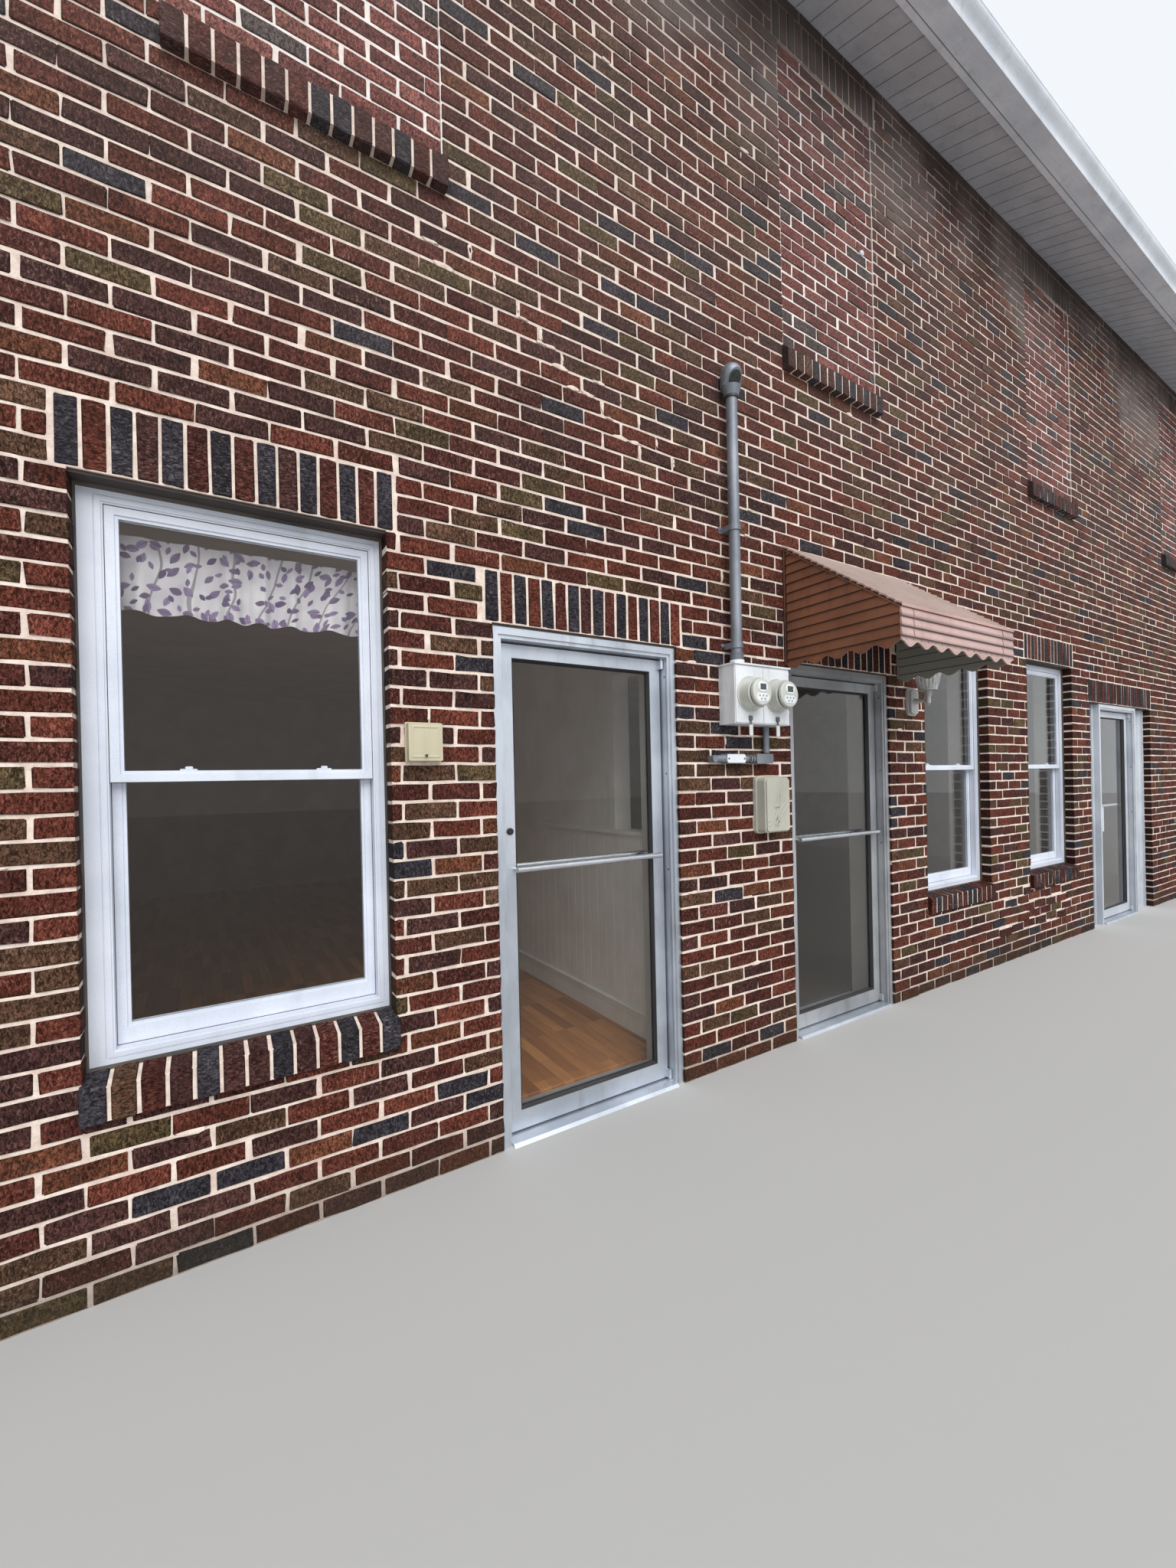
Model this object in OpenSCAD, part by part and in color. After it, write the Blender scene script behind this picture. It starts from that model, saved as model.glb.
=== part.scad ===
// A two-storey brick shop building, seen from its street front: three shop doors, three sash
// windows, four bricked-in upper windows, a slatted awning and a roof with eaves along the street.
// The origin is on the ground in the middle of the house, +X runs along the front to the right
// and +Y runs from the street towards the back.

/* [Walls] */
// Length of the front wall
front_l = 12383; // [12100:1:13500]
// Depth of the house from the front face to the back face
house_d = 8120; // [6500:10:10000]
// Thickness of the brick walls
wall_t = 305; // [280:1:360]
// Height of the wall face where the soffit meets it
wall_h = 5810; // [5760:1:6300]
// Thickness of the ground floor that shows above the ground
floor_t = 25; // [18:1:40]
// Height of the upper floor's underside
upper_floor_z = 2750; // [2640:1:2950]
// Thickness of the upper floor with its joists
upper_floor_t = 240; // [180:1:300]

/* [Windows] */
// Width of a window opening
window_w = 880; // [760:1:980]
// Height of the window heads
window_head = 2380; // [2330:1:2500]
// Height of the underside of the lower brick sills
sill_z = 525; // [450:1:620]
// Height of a brick sill at its front
sill_front_h = 98; // [80:1:110]
// Fall of a lower sill from the frame to its front edge
sill_fall = 17; // [6:1:30]
// How far a lower sill stands out of the wall
sill_out = 25; // [15:1:50]
// How far a window frame is set back from the wall face
window_setback = 75; // [50:1:95]
// Depth of a window frame
window_frame_d = 83; // [76:1:100]
// Width of a window frame's face
window_frame_w = 46; // [36:1:60]
// Width of a sash's stiles and top rail
sash_w = 36; // [28:1:50]
// Height of the lower sash's bottom rail
sash_bottom_h = 62; // [45:1:80]
// Thickness of a sash
sash_t = 32; // [26:1:34]
// Thickness of a double pane
pane_t = 18; // [12:1:22]
// Width of the strip that fills the first opening beside its frame
filler_w = 24; // [12:1:40]
// Left edge of the first window, from the left corner
window_1_x = 1004; // [700:1:1200]
// Left edge of the second window
window_2_x = 5408; // [5250:1:5600]
// Left edge of the third window
window_3_x = 6930; // [6800:1:7150]

/* [Upper windows] */
// Width of a bricked-in window
blind_w = 880; // [760:1:980]
// Height of the underside of the upper brick sills
blind_sill_z = 3710; // [3500:1:3800]
// Height of an upper brick sill where it meets the infill
blind_sill_h = 140; // [110:1:160]
// How far an upper sill stands out of the wall
blind_sill_out = 40; // [20:1:60]
// Fall of an upper sill from the infill to its front edge
blind_sill_fall = 40; // [10:1:60]
// Height of the heads of the bricked-in windows
blind_head = 5530; // [5300:1:5600]
// How far the infill is set back from the wall face
blind_setback = 10; // [4:1:25]
// Thickness of the brick infill
infill_t = 203; // [92:1:250]
// Middle of the first bricked-in window, from the left corner
blind_1_x = 1691; // [1400:1:2000]
// Middle of the second bricked-in window
blind_2_x = 4490; // [4200:1:4800]
// Middle of the third bricked-in window
blind_3_x = 7462; // [7200:1:7800]
// Middle of the fourth bricked-in window
blind_4_x = 10710; // [10400:1:11000]
// Distance between the two bricked-in windows of a side wall
side_blind_pitch = 3000; // [2200:10:3600]

/* [Doors] */
// Height of the door heads
door_head = 2100; // [2090:1:2250]
// Width of a doorway
door_w = 950; // [900:1:1000]
// Left edge of the first doorway, from the left corner
door_1_x = 2286; // [2200:1:2320]
// Left edge of the second doorway
door_2_x = 4045; // [4040:1:4080]
// Left edge of the third doorway with its side panels
door_3_x = 8200; // [8100:1:8400]
// Width of the third doorway with its side panels
door_3_w = 1600; // [1500:1:1900]
// Width of the third doorway's left panel
left_panel_w = 255; // [180:1:300]
// How far a door frame is set back from the wall face
door_setback = 10; // [4:1:20]
// Width of a door frame's face
door_frame_w = 45; // [38:1:55]
// Depth of a door frame
door_frame_d = 114; // [111:1:125]
// How far a door leaf is set back in its frame
leaf_setback = 57; // [54:1:58]
// Thickness of a door leaf
leaf_t = 44; // [38:1:46]
// Gap between a leaf and its frame
leaf_gap = 8; // [7:0.5:10]
// Width of a leaf's stiles
stile_w = 66; // [65:1:80]
// Height of a leaf's top rail
top_rail_h = 62; // [50:1:80]
// Height of a leaf's bottom rail
bottom_rail_h = 85; // [75:1:160]
// Thickness of a door's pane
door_pane_t = 10; // [6:1:25]
// Height of the push bars
push_bar_z = 1105; // [950:1:1150]
// Diameter of the push bars
push_bar_d = 25; // [20:1:30]
// Free space between a push bar and its leaf
push_bar_gap = 30; // [24:1:36]
// Height of a threshold
threshold_h = 13; // [8:1:16]
// Distance of a pivot's axis from the jamb
pivot_in = 10; // [9.8:0.1:12]
// Distance of a pivot's axis in front of the leaf's face
pivot_out = 19; // [15:1:24]
// Diameter of a pivot's pin
pivot_pin_d = 10; // [8:0.5:12]
// Height of a pivot's knuckle
knuckle_h = 40; // [25:1:60]

/* [Awning] */
// Left edge of the awning, from the left corner
awning_x = 4010; // [3990:1:4030]
// Width of the awning
awning_w = 1090; // [1050:1:1110]
// How far the awning stands out of the wall
awning_out = 655; // [500:1:800]
// Height of the awning's ridge at the wall
awning_top_z = 2720; // [2600:1:2900]
// Height of the front edge of the awning's roof
awning_eave_z = 2240; // [2210:1:2300]
// Height of the lower edge that the scallops hang from
awning_hem_z = 2078; // [2075:1:2120]
// Depth of a scallop
scallop_h = 28; // [10:1:30]
// Number of scallops along the front
scallops = 8; // [4:1:12]
// Thickness of the awning's wings and front with their laps
awning_t = 12; // [10:1:20]
// Thickness of the awning's roof without its laps
awning_roof_t = 8; // [5:1:14]
// How far each slat of the awning laps out over the next
awning_lap = 7; // [3:1:8]
// Number of slats in the awning's roof
roof_slats = 18; // [12:1:24]
// Number of boards in a wing
wing_boards = 13; // [8:1:16]
// Number of ribs on the front
front_ribs = 3; // [2:1:4]

/* [Roof] */
// Pitch of the roof in degrees
roof_pitch = 21.5; // [18:0.5:30]
// How far the eaves stand out of the wall
eave_out = 417; // [300:1:600]
// How far the roof stands out over the side walls
verge_out = 150; // [60:1:300]
// Thickness of the roof with its rafters
roof_t = 150; // [120:1:220]
// Thickness of the soffit panels
soffit_t = 10; // [6:1:16]
// Thickness of the fascia boards
fascia_t = 20; // [14:1:28]
// Width of a gutter's floor
gutter_floor_w = 120; // [90:1:140]
// Width of a gutter at its top
gutter_w = 165; // [150:1:180]
// Height of a gutter
gutter_h = 135; // [100:1:160]
// Thickness of a gutter's sheet
gutter_t = 4; // [3:1:6]

/* [Wall fittings] */
// Middle of the service mast, from the left corner
mast_x = 3586; // [3560:1:3600]
// Diameter of the service mast
mast_d = 56; // [48:1:76]
// Height of the service mast's top end
mast_top_z = 3420; // [3000:1:3600]
// Left edge of the meter box
meter_box_x = 3510; // [3490:1:3530]
// Width of the meter box
meter_box_w = 395; // [380:1:420]
// Height of the meter box's underside
meter_box_z = 1730; // [1700:1:1800]
// Height of the meter box
meter_box_h = 300; // [260:1:320]
// Depth of the meter box with its covers
meter_box_d = 115; // [95:1:140]
// Diameter of a meter at its foot
meter_d = 160; // [140:1:170]
// Left edge of the telephone box
phone_box_x = 3740; // [3680:1:3760]
// Height of the telephone box's underside
phone_box_z = 1168; // [1120:1:1200]
// Width of the telephone box
phone_box_w = 200; // [180:1:220]
// Height of the telephone box
phone_box_h = 300; // [270:1:330]
// Depth of the telephone box
phone_box_d = 85; // [60:1:100]
// Left edge of the small cable box
cable_box_x = 1932; // [1910:1:1960]
// Height of the small cable box's underside
cable_box_z = 1545; // [1400:1:1700]
// Middle of the wall lantern
lantern_x = 5235; // [5210:1:5260]
// Height of the middle of the lantern's wall plate
lantern_z = 1935; // [1860:1:1960]
// Distance from the wall to the middle of the lantern's shade
lantern_arm = 120; // [110:1:150]
// Height of the lantern's shade
shade_h = 110; // [80:1:130]

/* [Hall] */
// Left face of the hall partition, from the left corner
partition_x = 3360; // [3300:1:3500]
// Thickness of the hall partition
partition_t = 100; // [75:1:120]
// Height of the baseboard
baseboard_h = 140; // [90:1:180]
// Thickness of the baseboard
baseboard_t = 14; // [10:1:20]
// Height of the top of the rail on the partition
wainscot_z = 1175; // [1000:1:1300]
// Length of the serving hatch in the partition
hatch_w = 400; // [300:1:600]
// Height of the valance's top
valance_top_z = 2275; // [2230:1:2290]
// Height of the valance
valance_h = 250; // [180:1:320]

/* [Hidden] */

$fn = 32;
lintel_t = 10;
lintel_d = 200;
window_xs = [window_1_x, window_2_x, window_3_x];
blind_xs = [for (x = [blind_1_x, blind_2_x, blind_3_x, blind_4_x]) x - blind_w / 2];
side_blind_ys = [for (s = [-1, 1]) house_d / 2 + s * side_blind_pitch / 2 - blind_w / 2];
frame_z = sill_z + sill_front_h + sill_fall;
frame_h = window_head - lintel_t - frame_z;
door_h = door_head - lintel_t;
door_3_frame_x = door_3_x + left_panel_w;
door_xs = [door_1_x, door_2_x, door_3_frame_x];
leaf_w = door_w - 2 * door_frame_w - 2 * leaf_gap;
leaf_z = threshold_h + leaf_gap;
leaf_h = door_h - door_frame_w - leaf_gap - leaf_z;
leaf_y = door_setback + leaf_setback;
knuckle_d = 19;
stop_gap = 5;
bead_w = 6;
bead_in = 12;
pin_clearance = 0.3;
pivot_plate_t = 6;
pivot_gap = 5;
rise = tan(roof_pitch);
soffit_h = soffit_t / cos(roof_pitch);
rafter_h = roof_t / cos(roof_pitch);
eave_y = -eave_out + fascia_t;

// Height of the roof's underside at a distance behind the front wall's face
function under_roof(y) = wall_h + soffit_h + y * rise;

// Moves from the street frame, whose origin is the left corner of the front wall at the ground
module street() {
    translate([-front_l / 2, -house_d / 2, 0]) children();
}

// Draws the front's pieces again on the back wall, seen from behind in the same order
module both_fronts() {
    for (turn = [0, 180]) rotate([0, 0, turn]) street() children();
}

// Draws a profile of depth and height along the front, from x0 over a length
module along(x0, length) {
    translate([x0, 0, 0]) rotate([90, 0, 90]) linear_extrude(length) children();
}

// A length of front wall with one window opening for each x in xs
module pierced_wall(x0, x1, z1, xs) {
    difference() {
        translate([x0, 0, 0]) cube([x1 - x0, wall_t, z1]);
        for (x = xs) translate([x, -1, sill_z]) cube([window_w, wall_t + 2, z1]);
    }
}

// The upper wall follows the roof's slope at its top and has the old window openings
module upper_wall() {
    difference() {
        along(0, front_l) polygon([
            [0, window_head], [wall_t, window_head], [wall_t, under_roof(wall_t)], [0, under_roof(0)]
        ]);
        for (x = blind_xs) translate([x, -1, blind_sill_z])
            cube([blind_w, wall_t + 2, blind_head - blind_sill_z]);
    }
}

// A side wall stands between the front and back walls and rises to the ridge
module side_wall() {
    difference() {
        along(0, wall_t) polygon([
            [wall_t, 0], [house_d - wall_t, 0], [house_d - wall_t, under_roof(wall_t)],
            [house_d / 2, under_roof(house_d / 2)], [wall_t, under_roof(wall_t)]
        ]);
        for (y = side_blind_ys) translate([-1, y, blind_sill_z])
            cube([wall_t + 2, blind_w, blind_head - blind_sill_z]);
    }
}

// The brick infill of one upper window, from the left edge of its opening
module infill() {
    translate([0, blind_setback, blind_sill_z + blind_sill_h])
        cube([blind_w, infill_t, blind_head - blind_sill_z - blind_sill_h]);
}

// The sloped sill under the infill
module blind_sill() {
    along(0, blind_w) polygon([
        [-blind_sill_out, blind_sill_z], [-blind_sill_out, blind_sill_z + blind_sill_h - blind_sill_fall],
        [blind_setback, blind_sill_z + blind_sill_h], [blind_setback + infill_t, blind_sill_z + blind_sill_h],
        [blind_setback + infill_t, blind_sill_z]
    ]);
}

// The sloped sill under a window frame
module window_sill() {
    back = window_setback + window_frame_d;
    along(0, window_w) polygon([
        [-sill_out, sill_z], [-sill_out, sill_z + sill_front_h], [window_setback, frame_z],
        [back, frame_z], [back, sill_z]
    ]);
}

// Places a side wall's piece, drawn at an outer face along +X, on the left wall
module on_left_side() {
    for (y = side_blind_ys) translate([0, y + blind_w, 0]) rotate([0, 0, -90]) children();
}

// Places the same piece on the right wall
module on_right_side() {
    for (y = side_blind_ys) translate([front_l, y, 0]) rotate([0, 0, 90]) children();
}

// Draws a window's piece in each front and back window opening, and only the first has a filler strip
module in_windows() {
    both_fronts() for (i = [0:2]) let ($filler = i == 0 ? filler_w : 0)
        translate([window_xs[i], 0, 0]) children();
}

// A rectangular ring in the X-Z plane with its lower left corner at the origin
module ring(w, t, h, side, top, bottom) {
    difference() {
        cube([w, t, h]);
        translate([side, -1, bottom]) cube([w - 2 * side, t + 2, h - top - bottom]);
    }
}

// A shallow square groove that runs round a ring's face, with its outer edge at a distance in
module face_groove(w, h, at, size) {
    translate([at, 0, at]) difference() {
        translate([0, -1, 0]) cube([w - 2 * at, size + 1, h - 2 * at]);
        translate([size, -2, size]) cube([w - 2 * (at + size), size + 3, h - 2 * (at + size)]);
    }
}

// A vinyl frame with two flats, a groove between them and a lower bead along its sashes
module window_frame() {
    w = window_w - $filler;
    groove = 4;
    bead = 5;
    inner = window_frame_w - bead;
    translate([$filler, 0, 0]) difference() {
        ring(w, window_frame_d, frame_h, window_frame_w, window_frame_w, window_frame_w);
        face_groove(w, frame_h, window_frame_w / 2, groove);
        translate([inner, -1, inner]) cube([w - 2 * inner, bead + 1, frame_h - 2 * inner]);
    }
    if ($filler > 0) cube([$filler, window_frame_d, frame_h]);
}

function sash_frame_w() = window_w - $filler - 2 * window_frame_w;
sash_frame_h = frame_h - 2 * window_frame_w;
sash_h = (sash_frame_h + sash_w) / 2;
upper_sash_y = window_setback + 10;
lower_sash_y = upper_sash_y + sash_t + 2;

// Moves to the lower corner of the upper or the lower sash
module at_sash(upper) {
    z = frame_z + window_frame_w + (upper ? sash_frame_h - sash_h : 0);
    translate([$filler + window_frame_w, upper ? upper_sash_y : lower_sash_y, z]) children();
}

// A sash with a glazing bead set back along its pane
module sash(bottom) {
    glazing_w = 10;
    glazing_in = 5;
    side = sash_w - glazing_w;
    difference() {
        ring(sash_frame_w(), sash_t, sash_h, sash_w, sash_w, bottom);
        translate([side, -1, bottom - glazing_w])
            cube([sash_frame_w() - 2 * side, glazing_in + 1, sash_h - side - bottom + glazing_w]);
    }
}

// One pane of a sash, held between its stiles and rails
module pane(bottom) {
    translate([sash_w, (sash_t - pane_t) / 2, bottom])
        cube([sash_frame_w() - 2 * sash_w, pane_t, sash_h - sash_w - bottom]);
}

// The bracket and pin of a pivot, whose plate reaches from the jamb
module pivot_pin() {
    r = knuckle_d / 2;
    translate([-r, -r, 0]) cube([r + pivot_in, knuckle_d, pivot_plate_t]);
    cylinder(d = pivot_pin_d, h = pivot_plate_t + pivot_gap + knuckle_h);
}

// The knuckle that turns on the pin, with the arm to the leaf behind it
module pivot_knuckle() {
    r = knuckle_d / 2;
    difference() {
        union() {
            cylinder(d = knuckle_d, h = knuckle_h);
            translate([-r, 0, 0]) cube([r, pivot_out, knuckle_h]);
        }
        translate([0, 0, -1]) cylinder(d = pivot_pin_d + 2 * pin_clearance, h = knuckle_h + 2);
    }
}

// Cuts a doorway's shape between two depths, at a distance in from the outer edges
module door_cut(side, y0, y1) {
    translate([side, y0, -1]) cube([door_w - 2 * side, y1 - y0, door_h - side + 1]);
}

// The stop that stands behind a leaf, on the jambs and under the head
module door_stop() {
    stop_w = 12;
    y = leaf_y + leaf_t + stop_gap;
    thick = door_setback + door_frame_d - y;
    w = door_w - 2 * door_frame_w;
    h = door_h - door_frame_w - threshold_h;
    translate([door_frame_w, y, threshold_h]) difference() {
        cube([w, thick, h]);
        translate([stop_w, -1, -1]) cube([w - 2 * stop_w, thick + 2, h - stop_w + 1]);
    }
}

// A door frame of two jambs and a head with the pivot pins, from the left edge of its opening
module door_frame() {
    step_w = 15;
    step_d = 8;
    groove = 3;
    groove_y = 16;
    translate([0, door_setback, 0]) difference() {
        cube([door_w, door_frame_d, door_h]);
        door_cut(door_frame_w, -1, door_frame_d + 1);
        door_cut(door_frame_w - step_w, -1, step_d);
        door_cut(door_frame_w - groove, groove_y, groove_y + groove);
    }
    door_stop();
    translate([door_w - door_frame_w - pivot_in, leaf_y - pivot_out, 0]) {
        translate([0, 0, threshold_h]) pivot_pin();
        translate([0, 0, door_h - door_frame_w]) mirror([0, 0, 1]) pivot_pin();
    }
}

// Moves to the lower left corner of the leaf in a doorway that starts at x
module at_leaf(x) {
    street() translate([x + door_frame_w + leaf_gap, leaf_y, leaf_z]) children();
}

// The stiles and rails of a leaf with a lower bead round its pane and its two pivot knuckles
module leaf() {
    lift = threshold_h + pivot_plate_t + pivot_gap - leaf_z;
    side = stile_w - bead_w;
    bottom = bottom_rail_h - bead_w;
    difference() {
        ring(leaf_w, leaf_t, leaf_h, stile_w, top_rail_h, bottom_rail_h);
        for (y = [-1, leaf_t - bead_in]) translate([side, y, bottom])
            cube([leaf_w - 2 * side, bead_in + 1, leaf_h - top_rail_h + bead_w - bottom]);
    }
    translate([leaf_w + leaf_gap - pivot_in, -pivot_out, 0]) {
        translate([0, 0, lift]) pivot_knuckle();
        translate([0, 0, leaf_h - lift]) mirror([0, 0, 1]) pivot_knuckle();
    }
}

// The pane of a leaf
module leaf_pane() {
    translate([stile_w, (leaf_t - door_pane_t) / 2, bottom_rail_h])
        cube([leaf_w - 2 * stile_w, door_pane_t, leaf_h - top_rail_h - bottom_rail_h]);
}

// A push bar across a leaf, on two posts that stand on its stiles, with the leaf's face at y = 0
module push_bar() {
    post_d = 12;
    margin = 1;
    z = push_bar_z - leaf_z;
    reach = push_bar_gap + push_bar_d / 2;
    post_x = stile_w - bead_w - margin - post_d / 2;
    end = post_x - post_d / 2 - margin;
    translate([end, -reach, z]) rotate([0, 90, 0]) cylinder(d = push_bar_d, h = leaf_w - 2 * end);
    for (x = [post_x, leaf_w - post_x]) translate([x, 0, z]) rotate([90, 0, 0])
        cylinder(d = post_d, h = reach);
}

// The push bars on both faces of a leaf
module push_bars() {
    push_bar();
    translate([0, leaf_t, 0]) mirror([0, 1, 0]) push_bar();
}

awning_slope = (awning_top_z - awning_eave_z) / awning_out;

// Height of the awning roof's underside at a distance from the wall
function under_awning(out) = awning_top_z - out * awning_slope;

// Points of a scalloped hem along a length, as a wave whose crests are at the hem's height
function hem(length, waves) = [
    for (i = [0:10 * waves]) [length * i / (10 * waves), awning_hem_z - scallop_h * (1 - cos(36 * i)) / 2]
];

// Points of n lapped boards, from z1 down to z0, each with its lower edge out by the lap
function lapped(z0, z1, n) = [
    for (i = [0:n - 1]) each [
        [0, z1 - (z1 - z0) * i / n], [awning_lap, z1 - (z1 - z0) * (i + 1) / n]
    ]
];

// The outline of one awning wing, with distance from the wall and height
module wing_outline() {
    polygon([
        for (p = hem(awning_out, 5)) [-p[0], p[1]],
        [-awning_out, awning_eave_z], [0, awning_top_z]
    ]);
}

// The left wing, whose lapped boards face -X, with its strip along the wall
module wing() {
    low = awning_hem_z - scallop_h;
    strip = 18;
    intersection() {
        union() {
            translate([awning_t, 0, 0]) rotate([90, 0, 0]) linear_extrude(awning_out) polygon([
                [0, low], [0, awning_top_z],
                for (p = lapped(low, awning_top_z, wing_boards)) [-p[0] - awning_t + awning_lap, p[1]]
            ]);
            translate([0, -strip, low]) cube([awning_t, strip, awning_top_z - low]);
        }
        translate([-1, 0, 0]) along(0, awning_t + 2) wing_outline();
    }
}

// The outline of the awning's front drop, with its scalloped hem
module front_outline() {
    polygon([each hem(awning_w, scallops), [awning_w, awning_top_z], [0, awning_top_z]]);
}

// The front drop's section: ribs under the roof's edge, and a flat strip below them
module front_section() {
    strip = 20;
    outer = awning_out + awning_t;
    flat = -outer + awning_lap;
    polygon([
        [-awning_out, awning_hem_z - scallop_h], [-awning_out, under_awning(awning_out)],
        [flat, under_awning(-flat)],
        for (p = lapped(awning_hem_z + strip, under_awning(outer), front_ribs)) [flat - p[0], p[1]],
        [flat, awning_hem_z + strip], [flat, awning_hem_z - scallop_h]
    ]);
}

module ground_floor() {
    color("burlywood") street() translate([wall_t, wall_t, 0])
        cube([front_l - 2 * wall_t, house_d - 2 * wall_t, floor_t]);
}

module upper_floor() {
    color("burlywood") street() translate([wall_t, wall_t, upper_floor_z])
        cube([front_l - 2 * wall_t, house_d - 2 * wall_t, upper_floor_t]);
}

module front_wall_left() {
    color("sienna") street() pierced_wall(0, door_1_x, window_head, [window_1_x]);
}

module front_wall_pier() {
    color("sienna") street() pierced_wall(door_1_x + door_w, door_2_x, window_head, []);
}

module front_wall_middle() {
    color("sienna") street() pierced_wall(door_2_x + door_w, door_3_x, window_head, [window_2_x, window_3_x]);
}

module front_wall_right() {
    color("sienna") street() pierced_wall(door_3_x + door_3_w, front_l, window_head, []);
}

module front_door_heads() {
    widths = [door_w, door_w, door_3_w];
    xs = [door_1_x, door_2_x, door_3_x];
    color("sienna") street() for (i = [0:2]) translate([xs[i], 0, door_head])
        cube([widths[i], wall_t, window_head - door_head]);
}

module front_wall_upper() {
    color("sienna") street() upper_wall();
}

module back_wall_lower() {
    color("sienna") rotate([0, 0, 180]) street() pierced_wall(0, front_l, window_head, window_xs);
}

module back_wall_upper() {
    color("sienna") rotate([0, 0, 180]) street() upper_wall();
}

module left_wall() {
    color("sienna") street() side_wall();
}

module right_wall() {
    color("sienna") street() translate([front_l, 0, 0]) mirror([1, 0, 0]) side_wall();
}

module bricked_in_windows() {
    color("indianred") {
        both_fronts() for (x = blind_xs) translate([x, 0, 0]) infill();
        street() on_left_side() infill();
        street() on_right_side() infill();
    }
}

module brick_sills() {
    color("dimgray") {
        in_windows() window_sill();
        both_fronts() for (x = blind_xs) translate([x, 0, 0]) blind_sill();
        street() on_left_side() blind_sill();
        street() on_right_side() blind_sill();
    }
}

module steel_lintels() {
    edge = 8;
    color("darkslategray") {
        in_windows() translate([0, edge, window_head - lintel_t]) cube([window_w, lintel_d, lintel_t]);
        street() for (x = [door_1_x, door_2_x])
            translate([x, edge, door_head - lintel_t]) cube([door_w, lintel_d, lintel_t]);
        street() translate([door_3_x, edge, door_head - lintel_t]) cube([door_3_w, lintel_d, lintel_t]);
    }
}

module window_frames() {
    color("white") in_windows() translate([0, window_setback, frame_z]) window_frame();
}

module window_sashes() {
    color("white") in_windows() {
        at_sash(true) sash(sash_w);
        at_sash(false) sash(sash_bottom_h);
    }
}

module window_glass() {
    color("lightsteelblue") in_windows() {
        at_sash(true) pane(sash_w);
        at_sash(false) pane(sash_bottom_h);
    }
}

module window_stools() {
    y = window_setback + window_frame_d;
    color("white") in_windows() translate([0, y, sill_z]) cube([window_w, wall_t - y, frame_z - sill_z]);
}

module door_1_frame() {
    color("silver") street() translate([door_1_x, 0, 0]) door_frame();
}

module door_2_frame() {
    color("gray") street() translate([door_2_x, 0, 0]) door_frame();
}

module door_3_frame() {
    color("whitesmoke") street() translate([door_3_frame_x, 0, 0]) door_frame();
}

// The left panel has a raised border strip at each side, and the right one is a cove
module door_3_side_panels() {
    panel_t = 50;
    strip_w = 40;
    recess = 12;
    right_w = door_3_w - left_panel_w - door_w;
    color("whitesmoke") street() translate([0, door_setback + door_frame_w, 0]) {
        translate([door_3_x, 0, 0]) difference() {
            cube([left_panel_w, panel_t, door_h]);
            translate([strip_w, -1, -1]) cube([left_panel_w - 2 * strip_w, recess + 1, door_h + 2]);
        }
        translate([door_3_frame_x + door_w, 0, 0]) difference() {
            cube([right_w, panel_t, door_h]);
            translate([strip_w + panel_t / 2, 0, -1]) cylinder(d = panel_t, h = door_h + 2);
            translate([strip_w + panel_t / 2, -1, -1])
                cube([right_w - 2 * strip_w - panel_t, panel_t / 2 + 1, door_h + 2]);
            translate([right_w - strip_w - panel_t / 2, 0, -1]) cylinder(d = panel_t, h = door_h + 2);
        }
    }
}

module door_thresholds() {
    bevel = 10;
    color("gainsboro") street() for (x = door_xs) along(x + door_frame_w, door_w - 2 * door_frame_w) polygon([
        [-bevel, 0], [0, threshold_h], [wall_t - bevel, threshold_h], [wall_t, 0]
    ]);
}

module door_1_leaf() {
    color("silver") at_leaf(door_xs[0]) leaf();
}

module door_1_glass() {
    color("lightsteelblue") at_leaf(door_xs[0]) leaf_pane();
}

module door_1_push_bars() {
    color("silver") at_leaf(door_xs[0]) push_bars();
}

module door_2_leaf() {
    color("gray") at_leaf(door_xs[1]) leaf();
}

module door_2_glass() {
    color("lightsteelblue") at_leaf(door_xs[1]) leaf_pane();
}

module door_2_push_bars() {
    color("gray") at_leaf(door_xs[1]) push_bars();
}

module door_3_leaf() {
    color("whitesmoke") at_leaf(door_xs[2]) leaf();
}

module door_3_glass() {
    color("lightsteelblue") at_leaf(door_xs[2]) leaf_pane();
}

module door_3_handles() {
    plate_t = 14;
    plate_w = 150;
    plate_h = 235;
    color("whitesmoke") at_leaf(door_xs[2]) {
        translate([6, -plate_t, push_bar_z - leaf_z - plate_h]) cube([plate_w, plate_t, plate_h]);
        translate([0, leaf_t, 0]) mirror([0, 1, 0]) push_bar();
    }
}

// The roof's slats run along the wall, and each one's lower edge stands up over the next
module awning_roof() {
    edge = awning_out + awning_t;
    step = edge / roof_slats;
    color("rosybrown") street() along(awning_x, awning_w) polygon([
        [-edge, under_awning(edge)], [0, awning_top_z],
        for (i = [0:roof_slats - 1]) each [
            [-i * step, under_awning(i * step) + awning_roof_t],
            [-(i + 1) * step, under_awning((i + 1) * step) + awning_roof_t + awning_lap]
        ]
    ]);
}

module awning_wings() {
    color("saddlebrown") street() {
        translate([awning_x, 0, 0]) wing();
        translate([awning_x + awning_w, 0, 0]) mirror([1, 0, 0]) wing();
    }
}

module awning_front() {
    color("rosybrown") street() intersection() {
        translate([awning_x, -awning_out + 1, 0]) rotate([90, 0, 0]) linear_extrude(awning_t + 2) front_outline();
        along(awning_x, awning_w) front_section();
    }
}

meter_hub_h = 22;
mast_y = -meter_box_d / 2;
strap_zs = [60, 650];

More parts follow.
